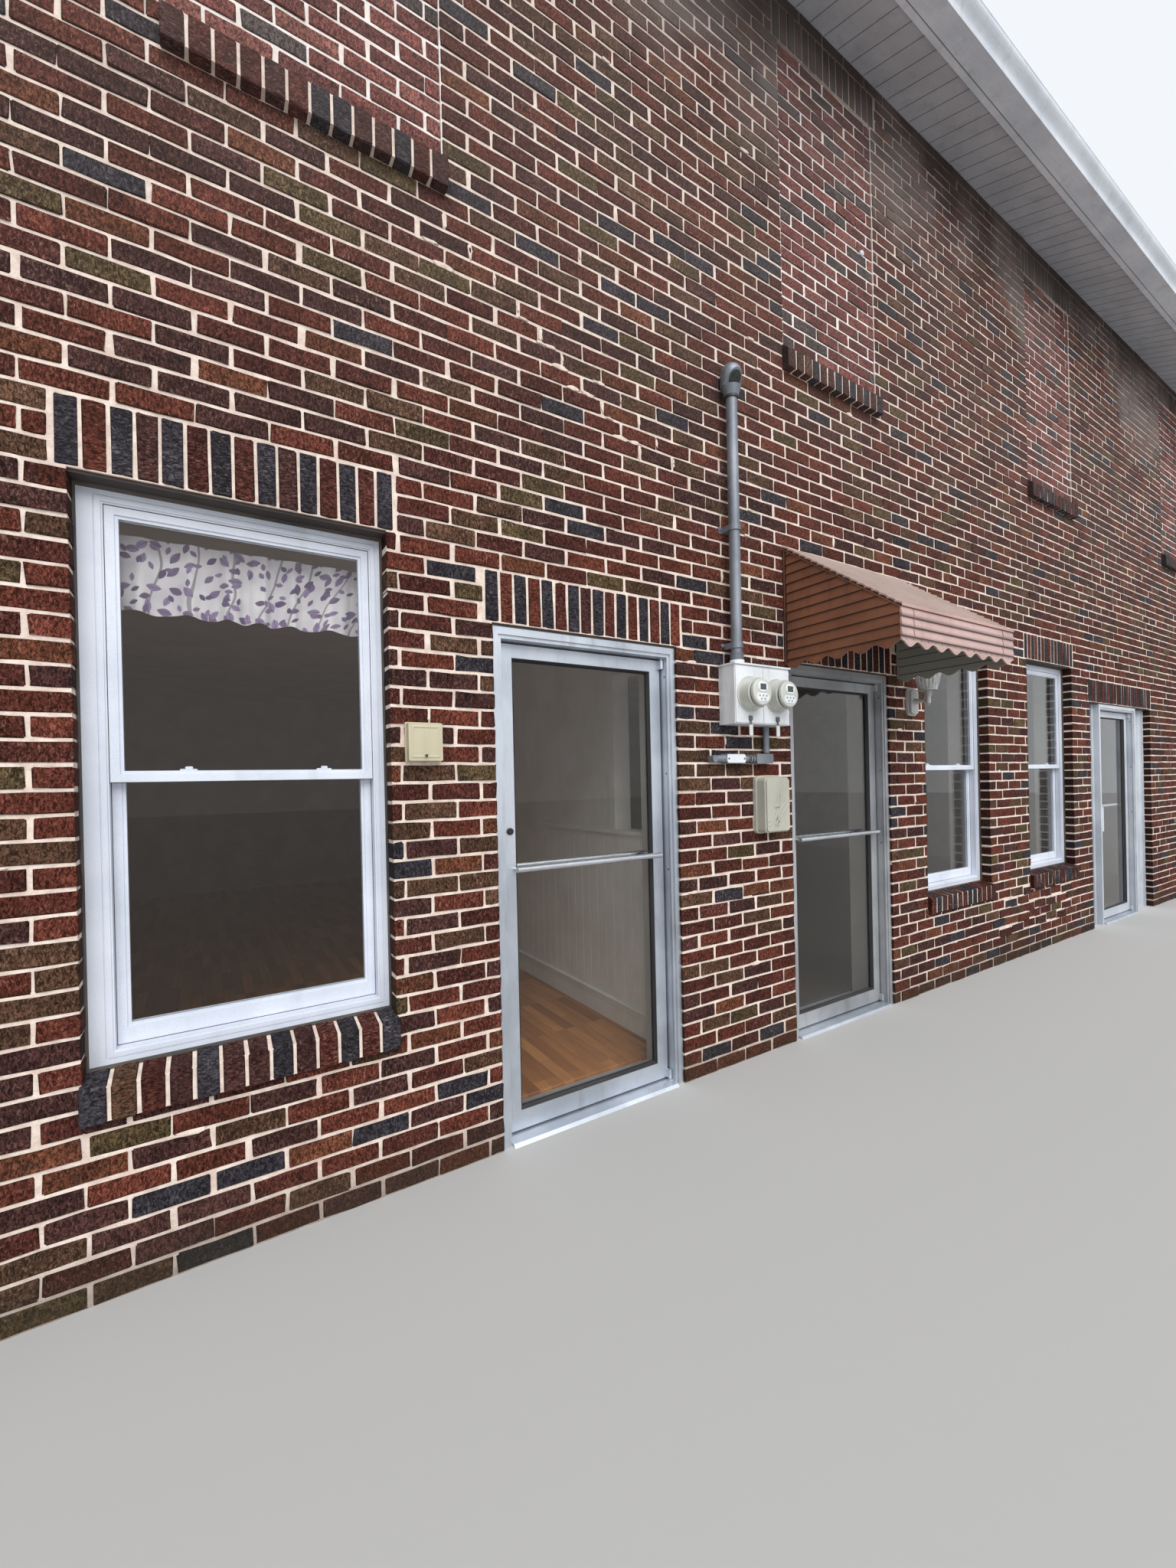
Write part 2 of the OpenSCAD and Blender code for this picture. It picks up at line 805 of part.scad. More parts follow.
// A strap round the mast, whose plate is screwed to the wall behind it
module mast_strap() {
    strap_h = 30;
    strap_t = 5;
    plate_w = 2 * mast_d;
    cylinder(d = mast_d + 2 * strap_t, h = strap_h);
    for (x = [-mast_d / 2 - strap_t, mast_d / 2]) translate([x, 0, 0]) cube([strap_t, -mast_y, strap_h]);
    translate([-plate_w / 2, -mast_y - strap_t, 0]) cube([plate_w, strap_t, strap_h]);
}

// The hood on the mast's top end, whose flat face with the cable holes looks forward and down
module weatherhead() {
    wall_gap = 3;
    collar_t = 7;
    collar_top_d = 96;
    collar_h = 45;
    face_tilt = 35;
    hood_d = 2 * (-mast_y - wall_gap);
    side_h = 0.6 * hood_d;
    face_out = 0.3 * hood_d;
    translate([0, 0, -collar_h]) cylinder(d1 = mast_d + 2 * collar_t, d2 = collar_top_d, h = collar_h);
    difference() {
        union() {
            cylinder(d = hood_d, h = side_h);
            translate([0, 0, side_h]) sphere(d = hood_d);
        }
        translate([0, 0, hood_d / 2]) rotate([face_tilt, 0, 0])
            translate([-hood_d, -face_out - 2 * hood_d, -2 * hood_d]) cube([2 * hood_d, 2 * hood_d, 4 * hood_d]);
    }
}

module service_mast() {
    foot = meter_box_z + meter_box_h + meter_hub_h;
    color("slategray") street() translate([mast_x, mast_y, 0]) {
        translate([0, 0, foot]) cylinder(d = mast_d, h = mast_top_z - foot);
        translate([0, 0, mast_top_z]) weatherhead();
        for (z = strap_zs) translate([0, 0, foot + z]) mast_strap();
    }
}

// The box has a lid with a lip, two covers side by side and a hub for the mast
module meter_box() {
    cover_t = 6;
    lip = 6;
    lid_t = 8;
    seam = 3;
    cover_w = (meter_box_w - 3 * seam) / 2;
    depth = meter_box_d - cover_t;
    color("whitesmoke") street() {
        translate([meter_box_x, 0, meter_box_z]) {
            translate([0, -depth, 0]) cube([meter_box_w, depth, meter_box_h - lid_t]);
            for (i = [0, 1]) translate([seam + i * (cover_w + seam), -meter_box_d, lip])
                cube([cover_w, cover_t, meter_box_h - lid_t - 2 * lip]);
            translate([-lip, -meter_box_d - lip, meter_box_h - lid_t])
                cube([meter_box_w + 2 * lip, meter_box_d + lip, lid_t]);
        }
        translate([mast_x, mast_y, meter_box_z + meter_box_h]) cylinder(d = mast_d + 16, h = meter_hub_h);
    }
}

// Each meter has a thin ring on its cover, a tapered drum, a neck and a face with a round edge
module meters() {
    ring_d = meter_d + 18;
    ring_h = 5;
    drum_h = 60;
    taper = 5;
    neck_h = 8;
    face_r = meter_d / 2 - 14;
    neck_r = face_r - 5;
    depth = 85;
    edge = 8;
    color("gainsboro") street() for (i = [0, 1])
        translate([meter_box_x + meter_box_w * (i + 0.5) / 2, -meter_box_d, meter_box_z + meter_box_h * 0.49])
        rotate([90, 0, 0]) {
            cylinder(d = ring_d, h = ring_h);
            rotate_extrude() polygon([
                [0, 0], [meter_d / 2, 0], [meter_d / 2 - taper, drum_h],
                [neck_r, drum_h], [neck_r, drum_h + neck_h], [face_r, drum_h + neck_h],
                for (a = [0:15:90]) [face_r - edge + edge * cos(a), depth - edge + edge * sin(a)],
                [0, depth]
            ]);
        }
}

// A pipe from the meter box into an elbow, which a ring and a neck join to a second fitting with a
// cover and a tail that turns into the wall
module meter_conduit() {
    pipe_d = 34;
    conduit_in = 83;
    drop = 170;
    body_h = 50;
    axis_out = 25;
    elbow_w = 126;
    elbow_in = 30;
    ring_d = 46;
    ring_w = 48;
    neck_w = 32;
    cover_w = 136;
    cover_t = 5;
    rim = 4;
    tail_w = 70;
    tail_d = 28;
    stub_d = 34;
    elbow_x = elbow_in - elbow_w;
    cover_x = elbow_x - ring_w - neck_w - cover_w;
    color("lightgray") street() translate([meter_box_x + meter_box_w - conduit_in, 0, meter_box_z - drop]) {
        translate([0, -axis_out, 0]) cylinder(d = pipe_d, h = drop);
        translate([elbow_x, 0, -body_h / 2]) rounded_plate(elbow_w, body_h, 10, 0, body_h - 2);
        translate([elbow_x, -axis_out, 0]) rotate([0, -90, 0]) {
            cylinder(d = ring_d, h = ring_w);
            cylinder(d = pipe_d, h = ring_w + neck_w);
        }
        translate([cover_x, 0, -body_h / 2]) {
            rounded_plate(cover_w, body_h, 14, 0, body_h - cover_t);
            translate([rim, 0, rim])
                rounded_plate(cover_w - 2 * rim, body_h - 2 * rim, 11, body_h - cover_t, body_h);
        }
        translate([cover_x, -axis_out, 0]) rotate([0, -90, 0]) cylinder(d1 = ring_d, d2 = tail_d, h = tail_w);
        translate([cover_x - tail_w, -axis_out - stub_d / 2, 0]) rotate([-90, 0, 0])
            cylinder(d = stub_d, h = axis_out + stub_d / 2);
    }
}

// A plate on the wall with round corners, between two distances from the wall
module rounded_plate(w, h, r, from, to) {
    translate([0, -from, 0]) rotate([90, 0, 0]) linear_extrude(to - from) {
        translate([r, 0]) square([w - 2 * r, h]);
        translate([0, r]) square([w, h - 2 * r]);
        for (x = [r, w - r], z = [r, h - r]) translate([x, z]) circle(r);
    }
}

// A base with a cover that steps in twice
module telephone_box() {
    base_t = 22;
    inset = 7;
    face_t = 10;
    radius = 24;
    color("tan") street() translate([phone_box_x, 0, phone_box_z]) {
        rounded_plate(phone_box_w, phone_box_h, radius, 0, base_t);
        translate([inset, 0, inset])
            rounded_plate(phone_box_w - 2 * inset, phone_box_h - 2 * inset, radius - 4, base_t, phone_box_d - face_t);
        translate([2 * inset, 0, 2 * inset]) rounded_plate(
            phone_box_w - 4 * inset, phone_box_h - 4 * inset, radius - 8, phone_box_d - face_t, phone_box_d
        );
    }
}

// A back plate with a cover, and a round lock on the cover
module cable_box() {
    w = 133;
    h = 146;
    depth = 42;
    base_t = 10;
    inset = 4;
    lock_d = 14;
    color("wheat") street() translate([cable_box_x, 0, cable_box_z]) {
        rounded_plate(w, h, 6, 0, base_t);
        translate([inset, 0, inset]) rounded_plate(w - 2 * inset, h - 2 * inset, 5, base_t, depth);
        translate([w / 2, -depth, 22]) rotate([90, 0, 0]) cylinder(d = lock_d, h = 5);
    }
}

cup_low = 26;
cup_h = 36;

// A moulded wall plate in two steps, a tapered arm, a knuckle and the cup that holds the shade
module lantern_bracket() {
    plate_w = 110;
    plate_h = 180;
    plate_t = 18;
    step = 12;
    socket_d = 62;
    socket_h = 70;
    arm_d = 24;
    knuckle_d = 32;
    knuckle_low = -20;
    cup_d = 42;
    color("whitesmoke") street() translate([lantern_x, 0, lantern_z]) {
        translate([-plate_w / 2, 0, -plate_h / 2]) {
            rounded_plate(plate_w, plate_h, 30, 0, plate_t);
            translate([step, 0, step])
                rounded_plate(plate_w - 2 * step, plate_h - 2 * step, 22, plate_t, 2 * plate_t);
        }
        rotate([90, 0, 0]) cylinder(d1 = socket_d, d2 = arm_d, h = socket_h);
        rotate([90, 0, 0]) cylinder(d = arm_d, h = lantern_arm);
        translate([0, -lantern_arm, knuckle_low]) cylinder(d = knuckle_d, h = cup_low - knuckle_low);
        translate([0, -lantern_arm, cup_low]) cylinder(d = cup_d, h = cup_h);
    }
}

// A tulip-shaped shade that stands on the cup and opens upwards
module lantern_shade() {
    wall = 4;
    foot_r = 54;
    flare = 24;
    tulip = [for (i = [0:6]) [foot_r + flare * pow(i / 6, 0.8), shade_h * i / 6]];
    color("lightsteelblue") street() translate([lantern_x, -lantern_arm, lantern_z + cup_low + cup_h])
        rotate_extrude() polygon([
            [0, 0], each tulip,
            for (i = [6:-1:1]) [tulip[i][0] - wall, tulip[i][1]],
            [tulip[0][0] - wall, wall], [0, wall]
        ]);
}

// The soffit panels lie under the rafters from the wall to the fascia
module soffit() {
    along(-verge_out, front_l + 2 * verge_out) polygon([
        [0, under_roof(0) - soffit_h], [0, under_roof(0)],
        [eave_y, under_roof(eave_y)], [eave_y, under_roof(eave_y) - soffit_h]
    ]);
}

fascia_low_z = under_roof(-eave_out) - soffit_h;
fascia_top_z = under_roof(eave_y) + rafter_h;

module fascia() {
    translate([-verge_out, -eave_out, fascia_low_z])
        cube([front_l + 2 * verge_out, fascia_t, fascia_top_z - fascia_low_z]);
}

// One gutter: a floor, a back, a front that bellies out to its lip, and an end plate on each side
module gutter() {
    lip = 14;
    steps = 8;
    belly = [for (i = [0:steps]) let (s = i / steps)
        [gutter_floor_w + (gutter_w - gutter_floor_w) * (1 - cos(180 * s)) / 2, gutter_h * (0.25 + 0.6 * s)]];
    section = [
        [0, gutter_h], [0, 0], [-gutter_floor_w, 0],
        for (p = belly) [-p[0], p[1]],
        [-gutter_w, gutter_h], [-gutter_w + lip, gutter_h], [-gutter_w + lip, gutter_h - gutter_t],
        [-gutter_w + gutter_t, gutter_h - gutter_t],
        for (i = [steps:-1:0]) [-belly[i][0] + gutter_t, belly[i][1]],
        [-gutter_floor_w + gutter_t, gutter_t], [-gutter_t, gutter_t], [-gutter_t, gutter_h]
    ];
    outline = [[0, 0], [-gutter_floor_w, 0], for (p = belly) [-p[0], p[1]], [-gutter_w, gutter_h], [0, gutter_h]];
    translate([0, -eave_out, fascia_low_z]) {
        along(-verge_out, front_l + 2 * verge_out) polygon(section);
        for (x = [-verge_out, front_l + verge_out - gutter_t]) along(x, gutter_t) polygon(outline);
    }
}

module soffits() {
    color("white") both_fronts() soffit();
}

module fascias() {
    color("white") both_fronts() fascia();
}

module gutters() {
    color("white") both_fronts() gutter();
}

// One slope of the roof, from the eave to the ridge
module roof_slope() {
    along(-verge_out, front_l + 2 * verge_out) polygon([
        [eave_y, under_roof(eave_y)], [house_d / 2, under_roof(house_d / 2)],
        [house_d / 2, under_roof(house_d / 2) + rafter_h], [eave_y, under_roof(eave_y) + rafter_h]
    ]);
}

module roof_front() {
    color("dimgray") street() roof_slope();
}

module roof_back() {
    color("dimgray") rotate([0, 0, 180]) street() roof_slope();
}

// The boards at the roof's two ends, along both slopes
module verge_boards() {
    color("white") both_fronts() for (x = [-verge_out - fascia_t, front_l + verge_out]) along(x, fascia_t) polygon([
        [-eave_out, fascia_low_z], [house_d / 2, under_roof(house_d / 2) - soffit_h],
        [house_d / 2, under_roof(house_d / 2) + rafter_h], [-eave_out, under_roof(-eave_out) + rafter_h]
    ]);
}

module ridge_cap() {
    reach = 140;
    thick = 12;
    seat = 0.3;
    top = under_roof(house_d / 2) + rafter_h + seat;
    color("dimgray") street() along(-verge_out - fascia_t, front_l + 2 * (verge_out + fascia_t)) polygon([
        for (side = [-1, 0, 1]) [house_d / 2 + side * reach, top - abs(side) * reach * rise],
        for (side = [1, 0, -1]) [house_d / 2 + side * reach, top - abs(side) * reach * rise + thick]
    ]);
}

// The partition beside the hall, with a baseboard, a rail at wainscot height and a serving hatch
module hall_partition() {
    rail_h = 22;
    rail_out = 20;
    casing = 60;
    hatch_h = 900;
    length = house_d - 2 * wall_t;
    x = partition_x - baseboard_t;
    color("whitesmoke") street() difference() {
        union() {
            translate([partition_x, wall_t, floor_t]) cube([partition_t, length, upper_floor_z - floor_t]);
            translate([x, wall_t, floor_t]) cube([baseboard_t, length, baseboard_h]);
            translate([partition_x - rail_out, wall_t, wainscot_z - rail_h]) cube([rail_out, length, rail_h]);
            translate([x, wall_t, wainscot_z]) cube([baseboard_t, hatch_w + casing, hatch_h + casing]);
        }
        translate([x - 1, wall_t - 1, wainscot_z]) cube([partition_t + baseboard_t + 2, hatch_w + 1, hatch_h]);
    }
}

valance_gap = 40;
valance_t = 40;
valance_y = window_setback + window_frame_d + valance_gap;

rod_d = 12;
rod_drop = 30;

// Moves to the left end of the valance's rod, with Z along the rod
module at_valance_rod() {
    translate([window_1_x, valance_y, valance_top_z - rod_drop]) rotate([0, 90, 0]) children();
}

module valance_rod() {
    color("white") street() at_valance_rod() cylinder(d = rod_d, h = window_w);
}

module valance() {
    end_gap = 10;
    color("lavender") street() difference() {
        translate([window_1_x + end_gap, valance_y - valance_t / 2, valance_top_z - valance_h])
            cube([window_w - 2 * end_gap, valance_t, valance_h]);
        at_valance_rod() cylinder(d = rod_d + 2 * pin_clearance, h = window_w);
    }
}

ground_floor();
upper_floor();
front_wall_left();
front_wall_pier();
front_wall_middle();
front_wall_right();
front_door_heads();
front_wall_upper();
back_wall_lower();
back_wall_upper();
left_wall();
right_wall();
bricked_in_windows();
brick_sills();
steel_lintels();
window_frames();
window_sashes();
window_glass();
window_stools();
door_1_frame();
door_2_frame();
door_3_frame();
door_3_side_panels();
door_thresholds();
door_1_leaf();
door_1_glass();
door_1_push_bars();
door_2_leaf();
door_2_glass();
door_2_push_bars();
door_3_leaf();
door_3_glass();
door_3_handles();
awning_roof();
awning_wings();
awning_front();
service_mast();
meter_box();
meters();
meter_conduit();
telephone_box();
cable_box();
lantern_bracket();
lantern_shade();
soffits();
fascias();
gutters();
roof_front();
roof_back();
verge_boards();
ridge_cap();
hall_partition();
valance_rod();
valance();
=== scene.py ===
import bpy
import bmesh
import math
import numpy as np
from mathutils import Matrix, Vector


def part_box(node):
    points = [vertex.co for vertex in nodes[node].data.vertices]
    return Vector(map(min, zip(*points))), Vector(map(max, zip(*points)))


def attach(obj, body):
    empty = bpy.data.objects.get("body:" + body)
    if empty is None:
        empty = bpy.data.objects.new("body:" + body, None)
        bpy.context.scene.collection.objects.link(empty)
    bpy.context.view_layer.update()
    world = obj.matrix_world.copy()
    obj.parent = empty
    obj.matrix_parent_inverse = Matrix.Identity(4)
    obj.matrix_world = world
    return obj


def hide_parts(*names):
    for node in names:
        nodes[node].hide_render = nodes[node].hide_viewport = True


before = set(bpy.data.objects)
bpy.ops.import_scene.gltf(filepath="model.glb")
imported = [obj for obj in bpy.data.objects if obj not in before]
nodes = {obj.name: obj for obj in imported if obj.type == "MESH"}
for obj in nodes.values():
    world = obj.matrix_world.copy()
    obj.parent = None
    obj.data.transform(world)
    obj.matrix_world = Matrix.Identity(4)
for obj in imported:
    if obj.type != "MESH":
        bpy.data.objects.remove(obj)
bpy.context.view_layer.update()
random = np.random.default_rng(41)
print("frame loaded:", len(nodes), "nodes")

# The camera stands near the left end of the front and looks along it
cameraLook = {"place": (-4.8715, -6.27, 1.457), "headingDegrees": 32.34, "pitchDegrees": -0.16,
              "rollDegrees": -1.278, "lens": 13.83, "sensor": 36}
studio = {"skyStrength": 0.78, "sunStrength": 2.35, "sunAngleDegrees": 50, "sunHeightDegrees": 45,
          "sunSideDegrees": -8, "floorPaint": (186, 185, 183), "floorHalf": 45}


def addToScene(name, data):
    made = bpy.data.objects.new(name, data)
    bpy.context.scene.collection.objects.link(made)
    return made


def makeCamera():
    data = bpy.data.cameras.new("front_camera")
    data.lens, data.sensor_width, data.clip_end = cameraLook["lens"], cameraLook["sensor"], 200
    camera = addToScene("front_camera", data)
    turn = Matrix.Rotation(-math.radians(cameraLook["headingDegrees"]), 4, "Z")
    tilt = Matrix.Rotation(math.radians(90 + cameraLook["pitchDegrees"]), 4, "X")
    roll = Matrix.Rotation(math.radians(cameraLook["rollDegrees"]), 4, "Z")
    camera.matrix_world = Matrix.Translation(cameraLook["place"]) @ turn @ tilt @ roll
    bpy.context.scene.camera = camera


def linear(paint):
    # each 0 to 255 screen value s becomes ((s/255 + 0.055) / 1.055) ^ 2.4
    s = np.asarray(paint, float) / 255
    return tuple(np.where(s > 0.04045, ((s + 0.055) / 1.055) ** 2.4, s / 12.92)) + (1.0,)


class Nodes:
    # the node tree of a material or the world: each input is a value or another node's socket
    def __init__(self, owner):
        owner.use_nodes = True
        self.made, self.tree = owner, owner.node_tree
        self.shader = self.tree.nodes.get("Principled BSDF")

    def feed(self, node, inputs):
        for key, value in inputs.items():
            if isinstance(value, bpy.types.NodeSocket):
                self.tree.links.new(value, node.inputs[key])
            else:
                node.inputs[key].default_value = value

    def add(self, kind, inputs, **settings):
        node = self.tree.nodes.new("ShaderNode" + kind)
        for key, value in settings.items():
            setattr(node, key, value)
        self.feed(node, inputs)
        return node.outputs

    def shade(self, inputs):
        self.feed(self.shader, inputs)

    def place(self):
        return self.add("TexCoord", {})["Object"]

    def colour(self):
        return self.shader.inputs["Base Color"].links[0].from_socket

    def surface(self):
        return self.add("UVMap", {}, uv_map="surface")[0]

    def axes(self, vector):
        return self.add("SeparateXYZ", {0: vector})

    def math(self, operation, first, second=0):
        return self.add("Math", {0: first, 1: second}, operation=operation)[0]

    def mix(self, share, first, second, blend="MIX"):
        return self.add("Mix", {0: share, 6: first, 7: second}, data_type="RGBA", blend_type=blend)[2]

    def times(self, colour, tone, share=1.0):
        return self.mix(share, colour, tone, "MULTIPLY")

    def noise(self, source, scale, detail=2.0, rough=0.5, distortion=0.0, stretch=(1, 1, 1)):
        moved = self.add("Mapping", {"Vector": source, "Scale": stretch})[0]
        grain = {"Scale": scale, "Detail": detail, "Roughness": rough, "Distortion": distortion}
        return self.add("TexNoise", {"Vector": moved, **grain})["Fac"]

    def ramp(self, value, low, high, first=0.0, last=1.0):
        ends = {"Value": value, "From Min": low, "From Max": high, "To Min": first, "To Max": last}
        return self.add("MapRange", ends, interpolation_type="SMOOTHSTEP")["Result"]

    def bump(self, height, strength, distance, under=None):
        below = {} if under is None else {"Normal": under}
        normal = self.add("Bump", {"Height": height, "Strength": strength, "Distance": distance, **below})[0]
        self.shade({"Normal": normal})
        return normal


def newLook(name):
    return Nodes(bpy.data.materials.new(name))


def makeStudio():
    sky = Nodes(bpy.data.worlds.new("soft_sky"))
    bpy.context.scene.world = sky.made
    sky.tree.nodes.clear()
    light = sky.add("Background", {"Color": (0.93, 0.96, 1, 1), "Strength": studio["skyStrength"]})[0]
    pale = sky.add("Background", {"Color": (0.90, 0.93, 0.97, 1), "Strength": 1.0})[0]
    rays = sky.add("LightPath", {})
    direct = sky.math("MAXIMUM", rays["Is Camera Ray"], rays["Is Glossy Ray"])
    seen = sky.math("MAXIMUM", direct, rays["Is Transmission Ray"])
    sky.add("OutputWorld", {0: sky.add("MixShader", {0: seen, 1: light, 2: pale})[0]})
    lamp = bpy.data.lights.new("soft_sun", "SUN")
    lamp.energy, lamp.angle = studio["sunStrength"], math.radians(studio["sunAngleDegrees"])
    height, side = math.radians(90 - studio["sunHeightDegrees"]), math.radians(studio["sunSideDegrees"])
    addToScene("soft_sun", lamp).rotation_euler = (height, 0, side)
    half = studio["floorHalf"]
    mesh = bpy.data.meshes.new("studio_floor")
    corners = [(x * half, y * half, 0) for x, y in ((-1, -1), (1, -1), (1, 1), (-1, 1))]
    mesh.from_pydata(corners, [], [(0, 1, 2, 3)])
    paint = newLook("pale_floor")
    paint.shade({"Base Color": linear(studio["floorPaint"]), "Roughness": 0.9})
    mesh.materials.append(paint.made)
    addToScene("studio_floor", mesh)
    bpy.context.scene.view_settings.view_transform = "Standard"


makeCamera()
makeStudio()
print("camera and studio ready")


def makePiece(name, shape, made, body="building", smooth=False, facts=None, uv=None,
              closed=False):
    # a shape is its points and its faces; facts are values at each point that the material reads
    points, faces = shape
    mesh = bpy.data.meshes.new(name)
    faces = faces.tolist() if isinstance(faces, np.ndarray) else faces
    mesh.from_pydata(np.reshape(points, (-1, 3)).tolist(), [], faces)
    if closed:
        turned = bmesh.new()
        turned.from_mesh(mesh)
        bmesh.ops.recalc_face_normals(turned, faces=turned.faces)
        turned.to_mesh(mesh)
        turned.free()
    for key, values in (facts or {}).items():
        values = np.asarray(values, np.float32)
        kind, part = ("FLOAT", "value") if values.ndim == 1 else ("FLOAT_VECTOR", "vector")
        mesh.attributes.new(key, kind, "POINT").data.foreach_set(part, values.ravel())
    if uv is not None:
        loops = np.zeros(len(mesh.loops), np.int32)
        mesh.loops.foreach_get("vertex_index", loops)
        every = np.reshape(uv, (-1, 2)).astype(np.float32)[loops]
        mesh.uv_layers.new(name="surface").data.foreach_set("uv", every.ravel())
    if smooth:
        mesh.polygons.foreach_set("use_smooth", np.ones(len(mesh.polygons), bool))
    mesh.materials.append(made)
    piece = addToScene(name, mesh)
    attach(piece, body)
    return piece


def gridFaces(rows, columns, wrapRows=False, wrapColumns=False):
    # quads of a grid whose point (i, j) has the index i * columns + j
    i = np.arange(rows if wrapRows else rows - 1)[:, None]
    j = np.arange(columns if wrapColumns else columns - 1)[None, :]
    nextI, nextJ = (i + 1) % rows, (j + 1) % columns
    quads = [i * columns + j, i * columns + nextJ, nextI * columns + nextJ, nextI * columns + j]
    return np.stack(quads, -1).reshape(-1, 4)


def repeatFaces(faces, copies, pointsEach):
    # the same faces for each copy, shifted by its number of points
    shifts = (np.arange(copies) * pointsEach)[:, None, None]
    return (np.asarray(faces)[None] + shifts).reshape(-1, len(faces[0]))


boxFaces = [[0, 1, 2, 3], [4, 5, 6, 7], [0, 1, 5, 4], [1, 2, 6, 5], [2, 3, 7, 6], [3, 0, 4, 7]]


def lofted(rings):
    # closed rings of one size, each joined to the next by quads, with a flat cap on both ends
    rings = np.asarray(rings, float)
    rows, columns = rings.shape[:2]
    faces = gridFaces(rows, columns, wrapColumns=True).tolist()
    faces += [list(range(columns)), list(range((rows - 1) * columns, rows * columns))]
    return rings.reshape(-1, 3), faces


def joined(shapes):
    # one shape of several, with each one's faces shifted by the points before it
    starts = np.cumsum([0] + [len(points) for points, faces in shapes]).tolist()
    faces = [[k + start for k in face] for shape, start in zip(shapes, starts) for face in shape[1]]
    return np.concatenate([points for points, some in shapes]), faces


def unit(rows):
    # each row divided by its length
    return rows / np.linalg.norm(rows, axis=1)[:, None]


def swept(path, radii, sides=12):
    # a circle of each radius stands square to the path at each of its points
    path = np.asarray(path, float)
    radii = np.broadcast_to(np.asarray(radii, float), len(path))
    along = unit(np.gradient(path, axis=0))
    first = unit(np.cross(along, np.where(np.abs(along[:, 2:]) > 0.9, [[1.0, 0, 0]], [[0, 0, 1.0]])))
    second = np.cross(along, first)
    turn = np.arange(sides) * 2 * math.pi / sides
    ring = np.cos(turn)[None, :, None] * first[:, None] + np.sin(turn)[None, :, None] * second[:, None]
    return lofted(path[:, None] + radii[:, None, None] * ring)


def solidBoxes(node):
    # lowest and highest corners of each solid of a node: corners at one place share a label, and
    # each triangle passes its least label on until nothing changes
    mesh = nodes[node].data
    points = np.zeros(len(mesh.vertices) * 3, np.float32)
    mesh.vertices.foreach_get("co", points)
    mesh.calc_loop_triangles()
    triangles = np.zeros(len(mesh.loop_triangles) * 3, np.int32)
    mesh.loop_triangles.foreach_get("vertices", triangles)
    places, shared = np.unique(np.round(points.reshape(-1, 3), 5), axis=0, return_inverse=True)
    triangles = shared.ravel()[triangles].reshape(-1, 3)
    label = np.arange(len(places))
    while True:
        before = label.copy()
        np.minimum.at(label, triangles, before[triangles].min(1)[:, None])
        if (label == before).all():
            return [(places[label == k].min(0), places[label == k].max(0)) for k in np.unique(label)]


houseEnds = np.array([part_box("front_wall_upper"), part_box("back_wall_lower")])
left, front = houseEnds[:, 0].min(0)[:2]
right, back = houseEnds[:, 1].max(0)[:2]
roofPitch = math.radians(21.5)
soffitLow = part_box("soffits")[0]
soffitReach = abs(soffitLow[1] - front)
soffitTop = soffitLow[2] + soffitReach * math.tan(roofPitch)

# Each wall's lower left corner seen from outside, its direction to the right and outwards
walls = {
    "front": {"corner": (left, front, 0), "right": (1, 0, 0), "out": (0, -1, 0), "length": right - left},
    "back": {"corner": (right, back, 0), "right": (-1, 0, 0), "out": (0, 1, 0), "length": right - left},
    "left": {"corner": (left, back, 0), "right": (0, -1, 0), "out": (-1, 0, 0), "length": back - front},
    "right": {"corner": (right, front, 0), "right": (0, 1, 0), "out": (1, 0, 0), "length": back - front},
}


def onWall(u, z, out, wall="front"):
    # corner + u * right + out * outwards, with z as the height
    side = {key: np.array(value) for key, value in walls[wall].items()}
    u, z, out = np.broadcast_arrays(u, z, out)
    flat = side["corner"] + u[..., None] * side["right"] + out[..., None] * side["out"]
    return flat + z[..., None] * np.array([0, 0, 1.0])


# Shapes on the front, by the distance u from its left corner, the height z and the distance out
def drum(u, z, outs, radii, sides=20):
    # circles about an axis that stands out of the wall
    return swept(onWall(u, z, np.asarray(outs, float)), radii, sides)


def post(u, out, heights, radii, sides=20):
    # circles about an upright axis
    return swept(onWall(u, np.asarray(heights, float), out), radii, sides)


def rail(section, u0, u1):
    # a closed outline of (out, z) points carried along the wall
    section = np.asarray(section, float)
    return lofted([onWall(u, section[:, 1], section[:, 0]) for u in (u0, u1)])


def blocks(rows, wall="front"):
    # one box for each row of u0, u1, z0, z1, w0, w1, with w as the distance out of the wall
    pick = np.array([[u, z, w] for w in (4, 5) for u, z in ((0, 2), (1, 2), (1, 3), (0, 3))])
    corners = np.asarray(rows, float).reshape(-1, 6)[:, pick]
    points = onWall(corners[..., 0], corners[..., 1], corners[..., 2], wall)
    return points.reshape(-1, 3), repeatFaces(boxFaces, len(corners), 8).tolist()


def plate(u0, u1, z0, z1, w0, w1, radius=0.002, edge=0.001, steps=4):
    # a rectangle with quarter circles at its corners, carried outwards and drawn in at its front edge
    angle = np.linspace(0, math.pi / 2, steps + 1)
    rings = []
    for w, inset in ((w0, 0), (w1 - edge, 0), (w1, edge)):
        r = max(radius - inset, 0.0003)
        corners = ((u1, z1, -1, -1), (u0, z1, 1, -1), (u0, z0, 1, 1), (u1, z0, -1, 1))
        outline = np.concatenate([
            np.stack([u + su * (inset + r) + r * np.cos(angle + k * math.pi / 2),
                      z + sz * (inset + r) + r * np.sin(angle + k * math.pi / 2)], 1)
            for k, (u, z, su, sz) in enumerate(corners)
        ])
        rings.append(onWall(outline[:, 0], outline[:, 1], w))
    return lofted(rings)


